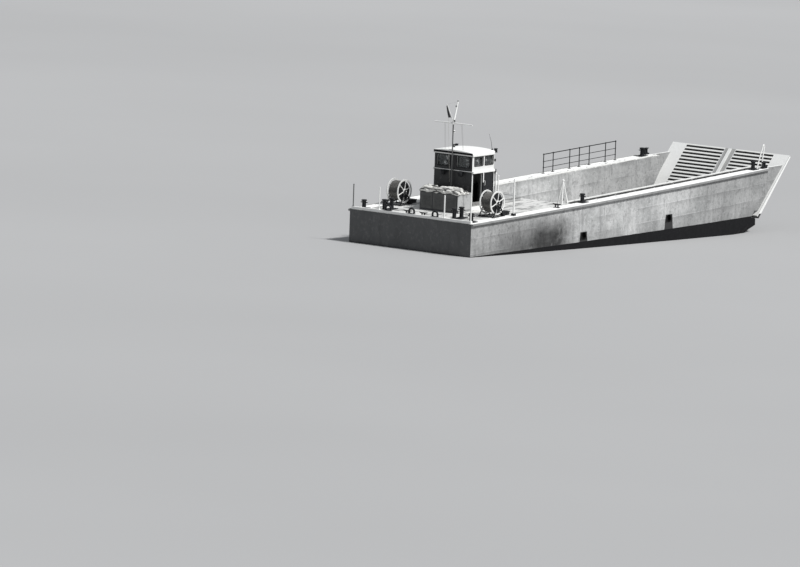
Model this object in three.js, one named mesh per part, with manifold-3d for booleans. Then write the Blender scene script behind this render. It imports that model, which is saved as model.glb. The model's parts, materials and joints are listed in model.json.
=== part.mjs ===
// A flat-bottomed landing craft with an open cargo well, a bow ramp and a small
// wheelhouse aft. Units are millimetres. X runs forward, Y to port, Z up.
// Sizes along the hull are measured forward from the transom's face, and
// heights from the flat bottom. The whole craft is then moved aft by ORIGIN.
import * as THREE from "three";
import { mergeVertices } from "three/addons/utils/BufferGeometryUtils.js";
import Module from "manifold-3d";

const wasm = await Module();
wasm.setup();
const { Manifold, Mesh } = wasm;

// Driving dimensions
const ORIGIN = 11314; // the origin's distance forward of the transom
const GAP = 0.3; // clearance between pieces that touch
const HULL = {
  length: 20500, // transom to the vertical part of the bow cheeks
  wellAft: 7000, // after end of the cargo well
  chine: 150, // inward slope of the side below the chine
  chineHeight: 350,
  footX: 16500, // where the bottom starts to rise forward
  footRise: 0.294, // rise of the forefoot for each unit forward
  sternX: 4600, // where the bottom starts to rise aft
  sternZ: 750, // bottom of the transom
};
const WELL = {
  floor: 1300, // top of the double bottom
  deck: 60, // thickness of the cargo deck on it
  halfFloor: 2200, // half width at the floor
  halfTop: 2350, // half width at the side decks
};
// Stations of the hull: distance forward, half beam and height of the deck.
const STATIONS = [
  { x: 0, half: 2984, deck: 2744 },
  { x: 3150, half: 3091, deck: 2828 },
  { x: 7000, half: 3177, deck: 2932 },
  { x: 10000, half: 3211, deck: 3020 },
  { x: 14000, half: 3210, deck: 3138 },
  { x: 17000, half: 3175, deck: 3231 },
  { x: 20500, half: 3100, deck: 3340 },
];
const RAMP = {
  hingeX: 20030,
  hingeZ: 1308,
  angle: THREE.MathUtils.degToRad(46), // slope of the raised ramp
  length: 3310, // hinge axis to the ramp's lip
  half: 2950, // half its width
  inner: 60, // tread face above the hinge axis
  outer: -130, // outer face below it at the foot
  lip: -50, // and at the lip
  start: 70, // first edge forward of the axis
  rim: 100, // smooth band along the lip
};
// Tread of the ramp: bars across two lanes, between smooth bands
const TREAD = { strip: 300, lane: 2190, pitch: 183, width: 113, depth: 28 };
// Bars on the cargo deck
const LANE = { inner: 400, outer: 2060, pitch: 366, width: 55, height: 28 };
const KNUCKLES = { radius: 60, pin: 25, bore: 26, ys: [-1700, -600, 600, 1700], half: 130 };
// The forward edge of the bow cheeks, from the deck down
const CHEEK = { kneeZ: 2750, lowX: 19500, lowZ: 1550, footX: 19292, footZ: 1300 };
// Plates that close the space between the cheeks and the raised ramp
const CHEEK_PLATE = { y: 2800, thick: 80, low: 1600, high: 3350, clear: 12 };
const SILL = { x: 19955, half: 2930 }; // beam across the bow that carries the ramp
// Scuppers in the sides: place, height of the top
const SCUPPERS = [
  { x: 7360, top: 1835 },
  { x: 13260, top: 2045 },
];
const SCUPPER = { half: 160, height: 230, depth: 110 };
const ENGINE_ROOM = { aft: 4700, fore: 6800, half: 2300, low: 300, high: 2700 };
const HATCH = { aft: 5200, fore: 6400, half: 600, coaming: 60, height: 150 };
const HOUSE = { aft: 2750, length: 1460, half: 930, wall: 60, height: 2220 };
const ROOF = { over: 42, edge: 95, crown: 60 };
// Heights on the wheelhouse's side, above the deck
const DOORWAY = { aft: 2830, fore: 3380, low: 340, high: 1500 };
const WINDOWS = { low: 1790, high: 2120 };
const SIDE_WINDOWS = [
  [2900, 3460],
  [3600, 4130],
];
// Sliding doors, open at rest, on a track below and a hood above
const DOOR = { aft: 3420, fore: 4140, out: 12, thick: 36, rail: 60 };
const TRUNK = { aft: 1850, half: 930, height: 770 };
const CANVAS = { aft: 1820, fore: 2560, half: 960, height: 250 };
// Mooring reels: radius of the flanges, of the wound rope and of the axle
const REEL = { x: 2280, y: 2294, radius: 475, pack: 395, width: 560, lift: 555, axle: 30, leg: 60 };
const SHAFT = { y: 1450, z: 620, radius: 45, propX: 1700, propRadius: 430 };
const TUNNEL = { half: 500, roof: 1140, straight: 2500, end: 3700 };
const RUDDER = { x: 900, thick: 60, chord: 780, top: 990, bottom: 160, stock: 40 };
// The mast's foot, where it starts to rake, its top, and the yard and gaff
const MAST = { x: 2650, knee: 6200, top: 7150, rake: 290, yard: 6250, half: 930, peakX: 2200, peakZ: 7035 };
const FLAG = { top: 6980, bottom: 6490, thick: 80 };
// Port guard rail: its posts and its height above the deck
const GUARD = { xs: [13070, 13740, 14910, 15590, 16300, 17450, 18170], y: 3000, height: 790 };
const COAMING = { aft: 7200, fore: 20300, y: 2380, thick: 60, low: 15, high: 60, pitch: 1450 };
const STERN = { x: 20, depth: 120, half: 2940, height: 110, posts: [1600, 2890], tall: 1000 };
const CHOCKS = { ys: [-1150, 0, 1150], outer: 165, inner: 90, rise: 190 };

const sides = [
  { name: "starboard", sign: -1 },
  { name: "port", sign: 1 },
];

// Turns a three.js geometry into a manifold solid with its faces pointing out.
function solid(geometry) {
  const g = geometry.index ? geometry.toNonIndexed() : geometry;
  g.deleteAttribute("normal");
  g.deleteAttribute("uv");
  const merged = mergeVertices(g, 1e-3);
  const vertProperties = new Float32Array(merged.attributes.position.array);
  const triVerts = new Uint32Array(merged.index.array);
  const made = new Manifold(new Mesh({ numProp: 3, vertProperties, triVerts }));
  if (made.volume() > 0) return made;
  return new Manifold(new Mesh({ numProp: 3, vertProperties, triVerts: triVerts.reverse() }));
}

function box(x0, x1, y0, y1, z0, z1) {
  const g = new THREE.BoxGeometry(x1 - x0, y1 - y0, z1 - z0);
  g.translate((x0 + x1) / 2, (y0 + y1) / 2, (z0 + z1) / 2);
  return solid(g);
}

// A cylinder, or a cone, from one point to another.
function rod(from, to, radius, segments = 12, endRadius = radius) {
  const a = new THREE.Vector3(...from);
  const b = new THREE.Vector3(...to);
  const axis = b.clone().sub(a);
  const g = new THREE.CylinderGeometry(endRadius, radius, axis.length(), segments);
  const turn = new THREE.Quaternion().setFromUnitVectors(
    new THREE.Vector3(0, 1, 0),
    axis.clone().normalize(),
  );
  g.applyQuaternion(turn);
  g.translate(...a.add(b).multiplyScalar(0.5).toArray());
  return solid(g);
}

// A flat ring about the Y axis.
function ring(inner, outer, y0, y1, segments) {
  const corners = [
    [inner, y0],
    [outer, y0],
    [outer, y1],
    [inner, y1],
    [inner, y0],
  ];
  const profile = corners.map(([r, y]) => new THREE.Vector2(r, y));
  return solid(new THREE.LatheGeometry(profile, segments));
}

// An outline in X and Z, extruded from y0 to y1.
function slabXZ(points, y0, y1) {
  const shape = new THREE.Shape(points.map(([x, z]) => new THREE.Vector2(x, z)));
  const g = new THREE.ExtrudeGeometry(shape, { depth: y1 - y0, bevelEnabled: false });
  g.rotateX(Math.PI / 2);
  g.translate(0, y1, 0);
  return solid(g);
}

// An outline in Y and Z, extruded from x0 to x1.
function slabYZ(points, x0, x1) {
  const shape = new THREE.Shape(points.map(([y, z]) => new THREE.Vector2(y, z)));
  const g = new THREE.ExtrudeGeometry(shape, { depth: x1 - x0, bevelEnabled: false });
  g.rotateX(Math.PI / 2);
  g.rotateZ(Math.PI / 2);
  g.translate(x0, 0, 0);
  return solid(g);
}

// Joins like cross-sections, each a list of [x, y, z] in the same order.
function loft(sections) {
  const n = sections[0].length;
  const index = [];
  for (let s = 0; s + 1 < sections.length; s++)
    for (let i = 0; i < n; i++) {
      const a = s * n + i;
      const b = s * n + ((i + 1) % n);
      index.push(a, b, a + n, b, b + n, a + n);
    }
  const cap = THREE.ShapeUtils.triangulateShape(
    sections[0].map(([, y, z]) => new THREE.Vector2(y, z)),
    [],
  );
  const last = (sections.length - 1) * n;
  for (const [a, b, c] of cap) {
    index.push(a, c, b);
    index.push(last + a, last + b, last + c);
  }
  const g = new THREE.BufferGeometry();
  g.setAttribute("position", new THREE.Float32BufferAttribute(sections.flat(2), 3));
  g.setIndex(index);
  return solid(g);
}

const join = (...parts) => parts.flat().reduce((a, b) => a.add(b));
const cut = (body, ...tools) => tools.flat().reduce((a, b) => a.subtract(b), body);
const mirrorY = (s) => s.mirror([0, 1, 0]);
const sided = (s, sign) => (sign < 0 ? mirrorY(s) : s);
const ordered = (a, b) => (a < b ? [a, b] : [b, a]);

// A value of the hull's table, worked out between two stations.
function at(x, column) {
  const last = STATIONS.length - 2;
  let i = 0;
  while (i < last && x > STATIONS[i + 1].x) i++;
  const a = STATIONS[i];
  const b = STATIONS[i + 1];
  return a[column] + ((b[column] - a[column]) * (x - a.x)) / (b.x - a.x);
}
const deck = (x) => at(x, "deck");

// Height of the bottom, which rises to the bow and to the stern.
function bottom(x) {
  if (x > HULL.footX) return (x - HULL.footX) * HULL.footRise;
  if (x < HULL.sternX) return HULL.sternZ * (1 - x / HULL.sternX);
  return 0;
}

// Everything below the deck, used to seat deck fittings on it.
const belowDeck = slabXZ(
  [
    [-2000, 0],
    [22000, 0],
    [22000, deck(22000) + GAP],
    ...STATIONS.slice().reverse().map((s) => [s.x, s.deck + GAP]),
    [-2000, deck(-2000) + GAP],
  ],
  -4000,
  4000,
);
const seated = (s) => cut(s, belowDeck);

// A prism that takes away all forward of the bow cheeks' edge.
function aheadOfBow() {
  const { kneeZ, lowX, lowZ, footX, footZ } = CHEEK;
  const outline = [
    [footX, -500],
    [23000, -500],
    [23000, 5000],
    [HULL.length, 5000],
    [HULL.length, kneeZ],
    [lowX, lowZ],
    [footX, footZ],
  ];
  return slabXZ(outline, -4000, 4000);
}

// The tunnel over the port screw, whose roof slopes down to the bottom forward.
// Less lowers the roof.
function tunnelRoof(less) {
  const { roof, straight, end } = TUNNEL;
  return [
    [HULL.sternX, bottom(HULL.sternX) - less],
    [end, bottom(end) - less],
    [straight, roof - less],
    [-200, roof - less],
  ];
}

function tunnel() {
  const outline = [[-200, -100], [HULL.sternX, -100], ...tunnelRoof(0)];
  return slabXZ(outline, SHAFT.y - TUNNEL.half, SHAFT.y + TUNNEL.half);
}

// Hull
function hullAft() {
  const xs = [0, 1500, 3150, HULL.sternX, HULL.wellAft - GAP];
  const body = loft(
    xs.map((x) => {
      const half = at(x, "half");
      const low = bottom(x);
      const chine = low + HULL.chineHeight;
      const keel = half - HULL.chine;
      return [
        [x, -keel, low],
        [x, keel, low],
        [x, half, chine],
        [x, half, deck(x)],
        [x, -half, deck(x)],
        [x, -half, chine],
      ];
    }),
  );
  const { aft, fore, half, low, high } = ENGINE_ROOM;
  const room = box(aft, fore, -half, half, low, high);
  const opening = box(HATCH.aft, HATCH.fore, -HATCH.half, HATCH.half, high - 10, 3500);
  const edge = HATCH.coaming;
  const coaming = box(
    HATCH.aft - edge,
    HATCH.fore + edge,
    -HATCH.half - edge,
    HATCH.half + edge,
    high + 50,
    deck((HATCH.aft + HATCH.fore) / 2) + HATCH.height,
  );
  const { y } = SHAFT;
  const under = [
    tunnel(),
    rod([2000, y, SHAFT.z], [aft + 100, y, SHAFT.z], SHAFT.radius + 1, 24),
    rod([RUDDER.x, y, 500], [RUDDER.x, y, 1400], RUDDER.stock + 1, 24),
  ].flatMap((s) => [s, mirrorY(s)]);
  return cut(join(body, coaming), room, opening, under);
}

// Double bottom with the beam across the bow, and lugs for the ramp's pins
function hullBottom() {
  const inner = WELL.halfFloor - GAP;
  const top = WELL.floor;
  const aft = CHEEK.footX + GAP;
  const body = slabXZ(
    [
      [HULL.wellAft, 0],
      [HULL.footX, 0],
      [SILL.x, bottom(SILL.x)],
      [SILL.x, top],
      [HULL.wellAft, top],
    ],
    -inner,
    inner,
  );
  const sill = slabXZ(
    [
      [aft, bottom(CHEEK.footX)],
      [SILL.x, bottom(SILL.x)],
      [SILL.x, top],
      [aft, top],
    ],
    -SILL.half,
    SILL.half,
  );
  const { hingeX, hingeZ } = RAMP;
  const bores = KNUCKLES.ys.map((y) =>
    rod([hingeX, y - 300, hingeZ], [hingeX, y + 300, hingeZ], KNUCKLES.bore, 24),
  );
  return cut(join(body, sill, hingeLugs()), bores);
}

function hingeLugs() {
  const { hingeX, hingeZ } = RAMP;
  return KNUCKLES.ys.flatMap((y) =>
    [-1, 1].map((side) => {
      const near = y + side * (KNUCKLES.half + 6);
      const [lo, hi] = ordered(near, near + side * 80);
      return join(
        rod([hingeX, lo, hingeZ], [hingeX, hi, hingeZ], 52, 16),
        box(SILL.x - 10, hingeX, lo, hi, hingeZ - 250, hingeZ + 10),
      );
    }),
  );
}

// X of the raised ramp's tread face at a height, less a clearance
function rampFace(z, clear) {
  const { hingeX, hingeZ, angle, inner } = RAMP;
  return hingeX + (z - hingeZ) / Math.tan(angle) - (inner + clear) / Math.sin(angle);
}

// The port side of the well, with its cheek plate and its scuppers
function wing() {
  const xs = [HULL.wellAft, 10000, 14000, HULL.footX, 18500, HULL.length];
  const body = loft(
    xs.map((x) => {
      const half = at(x, "half");
      const low = bottom(x);
      return [
        [x, WELL.halfFloor, low],
        [x, half - HULL.chine, low],
        [x, half, low + HULL.chineHeight],
        [x, half, deck(x)],
        [x, WELL.halfTop, deck(x)],
        [x, WELL.halfFloor, WELL.floor],
      ];
    }),
  );
  const { y, thick, low, high, clear } = CHEEK_PLATE;
  const plate = slabXZ(
    [
      [CHEEK.lowX - 100, low],
      [rampFace(low, clear), low],
      [rampFace(high, clear), high],
      [HULL.length - 200, high - 20],
    ],
    y,
    y + thick,
  );
  return cut(join(cut(body, aheadOfBow()), plate), SCUPPERS.map(scupper));
}

function scupper({ x, top }) {
  const { half, height, depth } = SCUPPER;
  const inner = at(x, "half") - depth;
  return join(
    box(x - half, x + half, inner, 4000, top - height, top - half),
    rod([x, inner, top - half], [x, 4000, top - half], half, 20),
  );
}

// Cargo deck with traction bars in two lanes beside a smooth middle strip
function cargoDeck() {
  const z = WELL.floor + GAP;
  const top = z + WELL.deck;
  const half = WELL.halfFloor - 3;
  const plate = box(HULL.wellAft + GAP, SILL.x - 20, -half, half, z, top);
  const bars = [];
  for (let x = HULL.wellAft + 300; x < SILL.x - 200; x += LANE.pitch)
    for (const { sign } of sides) {
      const ends = ordered(sign * LANE.inner, sign * LANE.outer);
      bars.push(box(x, x + LANE.width, ...ends, top - 5, top + LANE.height));
    }
  return join(plate, bars);
}

// The raised ramp, made in its own frame: X up the ramp from the hinge's axis
// and Z out of its tread face
function placeOnRamp(s) {
  const m = new THREE.Matrix4()
    .makeTranslation(RAMP.hingeX, 0, RAMP.hingeZ)
    .multiply(new THREE.Matrix4().makeRotationY(-RAMP.angle));
  return s.transform(m.elements);
}

function rampKnuckles() {
  const { half, radius, pin } = KNUCKLES;
  return KNUCKLES.ys.flatMap((y) => [
    rod([0, y - half, 0], [0, y + half, 0], radius, 16),
    box(0, RAMP.start + 10, y - half, y + half, -40, 40),
    rod([0, y - half - 100, 0], [0, y + half + 100, 0], pin, 24),
  ]);
}

function ramp() {
  const { inner, outer, lip, start, length, half, rim } = RAMP;
  const { strip, lane, pitch, width, depth } = TREAD;
  const floor = inner - depth;
  const panel = slabXZ(
    [
      [start, outer],
      [length, lip],
      [length, floor],
      [start, floor],
    ],
    -half,
    half,
  );
  const raised = (x0, x1, y0, y1) => box(x0, x1, y0, y1, floor - 5, inner);
  const bars = [raised(length - rim, length, -half, half), raised(start, length, -strip, strip)];
  for (const { sign } of sides) {
    bars.push(raised(start, length, ...ordered(sign * lane, sign * half)));
    const ends = ordered(sign * (strip - 5), sign * (lane + 5));
    const top = length - rim - (pitch - width);
    for (let x = top; x > start + pitch; x -= pitch) bars.push(raised(x - width, x, ...ends));
  }
  const rib = box(start + 60, length - 40, -75, 75, inner - 5, inner + 45);
  return placeOnRamp(join(panel, rib, bars, rampKnuckles()));
}

// Screws, rudders and the skegs that guard them
function skeg() {
  const { y, z, radius, propX } = SHAFT;
  const aft = propX + 500;
  const fore = HULL.sternX - 30;
  const heelX = RUDDER.x - 80;
  const blade = slabXZ(
    [
      [heelX, 0],
      [fore, 0],
      [fore, 200],
      [aft + 350, 1200],
      [aft, 1200],
      [aft, 90],
      [heelX, 90],
    ],
    y - 60,
    y + 60,
  );
  const boss = rod([aft - 120, y, z], [aft + 900, y, z], 95, 16);
  const shaftBore = rod([propX - 100, y, z], [fore, y, z], radius + 1, 24);
  const heel = rod([RUDDER.x, y, 45], [RUDDER.x, y, 200], RUDDER.stock + 1, 24);
  const seat = rod([RUDDER.x, y, 0], [RUDDER.x, y, 90], 75, 16);
  const above = slabXZ([...tunnelRoof(GAP), [-200, 3000], [HULL.sternX, 3000]], 0, 3000);
  return cut(join(blade, boss, seat), above, shaftBore, heel);
}

function propeller() {
  const blades = [];
  for (let i = 0; i < 4; i++) {
    const blade = new THREE.BoxGeometry(26, 250, SHAFT.propRadius - 60);
    blade.translate(0, 0, (SHAFT.propRadius + 60) / 2);
    blade.rotateZ(THREE.MathUtils.degToRad(38));
    blade.rotateX((i * Math.PI) / 2);
    blades.push(solid(blade));
  }
  const hub = rod([-110, 0, 0], [110, 0, 0], 85, 16);
  const cone = rod([-190, 0, 0], [-108, 0, 0], 30, 16, 85);
  const inboard = ENGINE_ROOM.aft + 20 - SHAFT.propX;
  return join(hub, cone, rod([0, 0, 0], [inboard, 0, 0], SHAFT.radius, 24), blades);
}

function rudder() {
  const { x, chord, thick, top, bottom: low, stock } = RUDDER;
  const plate = slabXZ(
    [
      [x - chord * 0.7, low],
      [x + chord * 0.3, low],
      [x + chord * 0.3, top - 60],
      [x - chord * 0.7, top],
    ],
    -thick / 2,
    thick / 2,
  );
  return join(plate, rod([x, 0, 50], [x, 0, 1390], stock, 24));
}

// Strake along the deck edge
function rubRail() {
  return loft(
    STATIONS.map(({ x, half, deck: z }) => {
      const y = half + GAP;
      return [
        [x, y, z - 100],
        [x, y + 90, z - 70],
        [x, y + 90, z - 10],
        [x, y, z + 20],
      ];
    }),
  );
}

// Low bar along the well's edge, on short legs, port side
function wellCoaming() {
  const { aft, fore, y, thick, low, high, pitch } = COAMING;
  const xs = [aft, ...STATIONS.map((s) => s.x).filter((x) => x > aft && x < fore), fore];
  const bar = slabXZ(
    [
      ...xs.map((x) => [x, deck(x) + low]),
      ...xs.reverse().map((x) => [x, deck(x) + high]),
    ],
    y,
    y + thick,
  );
  const legs = [];
  for (let x = aft; x < fore; x += pitch)
    legs.push(box(x, x + 60, y, y + thick, deck(x) - 20, deck(x) + low + 20));
  return seated(join(bar, legs));
}

// A bollard, or a pair of them on one base
function bollard(x, y, spacing, height = 360) {
  const posts = (spacing ? [-spacing / 2, spacing / 2] : [0]).map((dx) => {
    const z = deck(x + dx);
    return join(
      rod([x + dx, y, z - 60], [x + dx, y, z + height - 20], 80, 14),
      rod([x + dx, y, z + height - 55], [x + dx, y, z + height], 112, 14),
      rod([x + dx, y - 160, z + height - 115], [x + dx, y + 160, z + height - 115], 20, 8),
    );
  });
  const reach = spacing / 2 + 210;
  const low = deck(x) - 80;
  const base = slabXZ(
    [
      [x - reach, low],
      [x + reach, low],
      [x + reach, deck(x + reach) + 30],
      [x - reach, deck(x - reach) + 30],
    ],
    y - 180,
    y + 180,
  );
  return seated(join(base, posts));
}

// Two upright rollers on a base at the bow's port corner
function bowFairlead() {
  const z = deck(20360);
  const base = box(20230, 20490, 2885, 3075, z - 60, z + 70);
  const cap = box(20230, 20490, 2905, 3055, z + 250, z + 280);
  const rollers = [20295, 20425].map((x) => rod([x, 2980, z], [x, 2980, z + 260], 52, 12));
  return seated(join(base, cap, rollers));
}

// A narrow hoop of tube that leans forward, at the starboard bow
function bowFrame() {
  const y = -2800;
  const feet = [20130, 20450];
  const z = deck(20300);
  const head = z + 940;
  const legs = feet.map((x, i) => rod([x, y, z - 20], [20510 + 85 * i, y, head], 24, 8));
  const pads = feet.map((x) => box(x - 45, x + 45, y - 45, y + 45, z - 40, z + 25));
  const bar = rod([20495, y, head], [20610, y, head], 30, 8);
  return seated(join(legs, pads, bar));
}

function deckPost() {
  const [x, y] = [2980, -2850];
  const z = deck(x);
  const foot = box(x - 75, x + 75, y - 75, y + 75, z - 40, z + 90);
  return seated(join(foot, rod([x, y, z], [x, y, z + 1470], 36, 12, 30)));
}

function deckTripod() {
  const [x, y, spread] = [6780, -2500, 230];
  const z = deck(x);
  const legs = [90, 210, 330].map((degrees) => {
    const a = THREE.MathUtils.degToRad(degrees);
    const foot = [x + spread * Math.cos(a), y + spread * Math.sin(a), z - 30];
    return rod(foot, [x, y, z + 960], 26, 8, 20);
  });
  return seated(join(legs, rod([x, y, z + 930], [x, y, z + 1000], 50, 12)));
}

// Low bar along the transom, with its stanchions and closed chocks
function sternFittings() {
  const { x, depth, half, height, posts, tall } = STERN;
  const z = deck(x);
  const middle = x + depth / 2;
  const bar = box(x, x + depth, -half, half, z - 40, z + height);
  const stanchions = posts.flatMap((y) =>
    [-y, y].map((side) => rod([middle, side, z], [middle, side, z + tall], 24, 10)),
  );
  const chocks = CHOCKS.ys.map((y) =>
    ring(CHOCKS.inner, CHOCKS.outer, -45, 45, 20)
      .rotate([0, 0, 90])
      .translate([middle, y, z + CHOCKS.rise]),
  );
  return seated(join(bar, stanchions, chocks));
}

function guardRail() {
  const { xs, y, height } = GUARD;
  const [first, last] = [xs[0], xs.at(-1)];
  const rails = [height, height * 0.62, height * 0.3].map((h, i) =>
    rod([first, y, deck(first) + h], [last, y, deck(last) + h], i ? 14 : 20, 6),
  );
  const posts = xs.map((x) => rod([x, y, deck(x) - 30], [x, y, deck(x) + height + 12], 22, 6));
  const feet = xs.map((x) => box(x - 60, x + 60, y - 50, y + 50, deck(x) - 30, deck(x) + 22));
  return seated(join(rails, posts, feet));
}

// Two tank vents on one base, at the wheelhouse's starboard fore corner
function ventPipes() {
  const [x, y] = [4300, -980];
  const z = deck(x);
  const base = box(x - 50, x + 210, y - 60, y + 60, z - 40, z + 60);
  const pipes = [
    [x, 1400],
    [x + 160, 1280],
  ].map(([px, h]) => rod([px, y, z], [px, y, z + h], 34, 12));
  return seated(join(base, pipes));
}

// Wheelhouse
function houseWalls() {
  const { aft, length, half, wall, height } = HOUSE;
  const z = deck(aft);
  const fore = aft + length;
  const shell = cut(
    box(aft, fore, -half, half, z - 100, z + height),
    box(aft + wall, fore - wall, -half + wall, half - wall, z - 200, z + height + 10),
  );
  const low = z + WINDOWS.low;
  const high = z + WINDOWS.high;
  const doorway = [DOORWAY.aft, DOORWAY.fore, -2000, 2000, z + DOORWAY.low, z + DOORWAY.high];
  const sideHoles = SIDE_WINDOWS.map(([x0, x1]) => box(x0, x1, -2000, 2000, low, high));
  const aftHoles = [-1, 1].map((s) => {
    const ends = ordered(s * 170, s * 800);
    return box(aft - 10, aft + wall + 10, ...ends, low - 90, high + 20);
  });
  const frontHoles = [-600, 0, 600].map((y) =>
    box(fore - wall - 10, fore + 10, y - 250, y + 250, z + 1400, high),
  );
  return seated(cut(shell, box(...doorway), sideHoles, aftHoles, frontHoles));
}

// Cambered roof with boxes for the side lights on its fore corners
function houseRoof() {
  const { aft, length, half, height } = HOUSE;
  const { over, edge, crown } = ROOF;
  const z = deck(aft) + height + GAP;
  const w = half + over;
  const outline = [
    [-w, z],
    [w, z],
    [w, z + edge],
    [w * 0.5, z + edge + crown * 0.75],
    [0, z + edge + crown],
    [-w * 0.5, z + edge + crown * 0.75],
    [-w, z + edge],
  ];
  const fore = aft + length + over;
  const lights = sides.map(({ sign }) => {
    const ends = ordered(sign * (w - 60), sign * (w + 50));
    return box(fore - 60, fore + 60, ...ends, z + 15, z + edge + 85);
  });
  return join(slabYZ(outline, aft - over, fore), lights);
}

function door() {
  const z = deck(HOUSE.aft);
  const y = HOUSE.half + DOOR.out;
  const low = z + DOORWAY.low - 30;
  return box(DOOR.aft, DOOR.fore, y, y + DOOR.thick, low, z + DOORWAY.high + 20);
}

function doorTrack() {
  const { aft, length, half } = HOUSE;
  const z = deck(aft);
  const lip = half + DOOR.out + DOOR.thick + 5;
  const low = z + DOORWAY.low - 30 - GAP;
  const [x0, x1] = [aft + 20, aft + length - 20];
  return join(
    box(x0, x1, half + GAP, lip + 12, low - DOOR.rail, low),
    box(x0, x1, lip, lip + 12, low - 10, low + 25),
  );
}

function doorHood() {
  const { aft, length, half } = HOUSE;
  const z = deck(aft) + DOORWAY.high + 25;
  const lip = half + DOOR.out + DOOR.thick + 5;
  return join(
    box(aft, aft + length, half + GAP, lip + 12, z, z + 60),
    box(aft, aft + length, lip, lip + 12, z - 30, z + 10),
  );
}

// Panes behind the window openings, each in its wall's inner face
function glassPane(name) {
  const { aft, length, half, wall } = HOUSE;
  const z = deck(aft);
  const low = z + WINDOWS.low - 40;
  const high = z + HOUSE.height - 20;
  const fore = aft + length;
  const t = 8;
  const inset = wall + GAP;
  if (name === "aft") return box(aft + inset, aft + inset + t, -840, 840, low - 90, high);
  if (name === "front") return box(fore - inset - t, fore - inset, -850, 850, z + 1360, high);
  const pane = box(aft + 75, fore - 72, half - inset - t, half - inset, low, high);
  return sided(pane, name === "port" ? 1 : -1);
}

// Steering pedestal with its wheel
function helmConsole() {
  const z = deck(HOUSE.aft);
  const [x, hub] = [3860, z + 880];
  const pedestal = box(x, x + 240, -240, 240, z - 20, z + 960);
  const wheel = ring(222, 256, -14, 14, 24).rotate([0, 0, 90]).translate([x - 70, 0, hub]);
  const spokes = [0, 60, 120].map((degrees) => {
    const g = new THREE.BoxGeometry(16, 480, 22);
    g.rotateX(THREE.MathUtils.degToRad(degrees));
    g.translate(x - 70, 0, hub);
    return solid(g);
  });
  return seated(join(pedestal, wheel, spokes, rod([x - 90, 0, hub], [x + 5, 0, hub], 28, 12)));
}

const trunkTop = deck(TRUNK.aft) + TRUNK.height;

function trunk() {
  const { aft, half } = TRUNK;
  return seated(box(aft, HOUSE.aft - GAP, -half, half, deck(aft) - 100, trunkTop));
}

// Folded canvas cover on the trunk
function canvasCover() {
  const { aft, fore, half, height } = CANVAS;
  const z = trunkTop + GAP;
  return slabXZ(
    [
      [aft, z],
      [fore, z],
      [fore - 20, z + height * 0.7],
      [fore - 150, z + height],
      [aft + 180, z + height],
      [aft + 20, z + height * 0.7],
    ],
    -half,
    half,
  );
}

function engineBlock() {
  const { aft, low } = ENGINE_ROOM;
  const bed = box(aft + 200, aft + 1900, -300, 300, low + GAP, 520);
  return join(bed, box(aft + 150, aft + 1950, -420, 420, 500, 1450));
}

function hatchLid() {
  const z = deck((HATCH.aft + HATCH.fore) / 2) + HATCH.height + GAP;
  const edge = HATCH.coaming + 30;
  const half = HATCH.half + edge;
  return box(HATCH.aft - edge, HATCH.fore + edge, -half, half, z, z + 50);
}

// Mast on the trunk, held to the wheelhouse's after wall
function mast() {
  const { x, knee, top, rake, yard, half, peakX, peakZ } = MAST;
  const on = (z) => x + (rake * Math.max(0, z - knee)) / (top - knee);
  const lamp = (z, radius, height, out = 0) =>
    rod([on(z) + out, 0, z], [on(z + height) + out, 0, z + height], radius, 12);
  const brackets = [4390, 4960].map((z) => box(x, HOUSE.aft - GAP, -20, 20, z, z + 40));
  return join(
    rod([x, 0, trunkTop + GAP], [x, 0, knee], 34, 12),
    rod([x, 0, knee - 40], [x + rake, 0, top], 34, 12, 18),
    rod([on(yard), -half, yard], [on(yard), half, yard], 24, 10),
    rod([on(yard), 0, yard + 30], [peakX, 0, peakZ], 17, 10),
    rod([peakX - 12, 0, peakZ], [peakX - 12, 0, FLAG.top + GAP], 9, 8),
    box(x - 45, x + 80, -80, 80, trunkTop + GAP, trunkTop + 30),
    lamp(5290, 62, 120, 85),
    lamp(5860, 48, 100, 72),
    lamp(yard + 20, 56, 110),
    brackets,
  );
}

// Limp flag under the gaff's peak
function flag() {
  const { top, bottom: low, thick } = FLAG;
  const x = MAST.peakX;
  return slabXZ(
    [
      [x + 125, low],
      [x + 296, low + 15],
      [x - 2, top],
      [x - 46, top],
    ],
    -thick / 2,
    thick / 2,
  );
}

// Mooring reels on their stands, made about their own middle on the deck
function reelStand() {
  const { x, width, lift, leg, axle } = REEL;
  const z = deck(x);
  const reach = width / 2 + leg;
  const frames = [-reach, reach].flatMap((y) => [
    rod([x - 330, y, z - 20], [x - 20, y, z + lift + 30], 32, 8),
    rod([x + 330, y, z - 20], [x + 20, y, z + lift + 30], 32, 8),
    box(x - 390, x + 390, y - 40, y + 40, z - 60, z + 40),
    box(x - 60, x + 60, y - 30, y + 30, z + lift - 60, z + lift + 60),
  ]);
  const ties = [-390, 330].map((dx) => box(x + dx, x + dx + 60, -reach, reach, z - 60, z + 40));
  const tray = box(x + 380, x + 840, -260, 260, z - 60, z + 175);
  const bore = rod([x, -reach - 100, z + lift], [x, reach + 100, z + lift], axle + 1, 24);
  return seated(cut(join(frames, ties, tray), bore));
}

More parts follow.
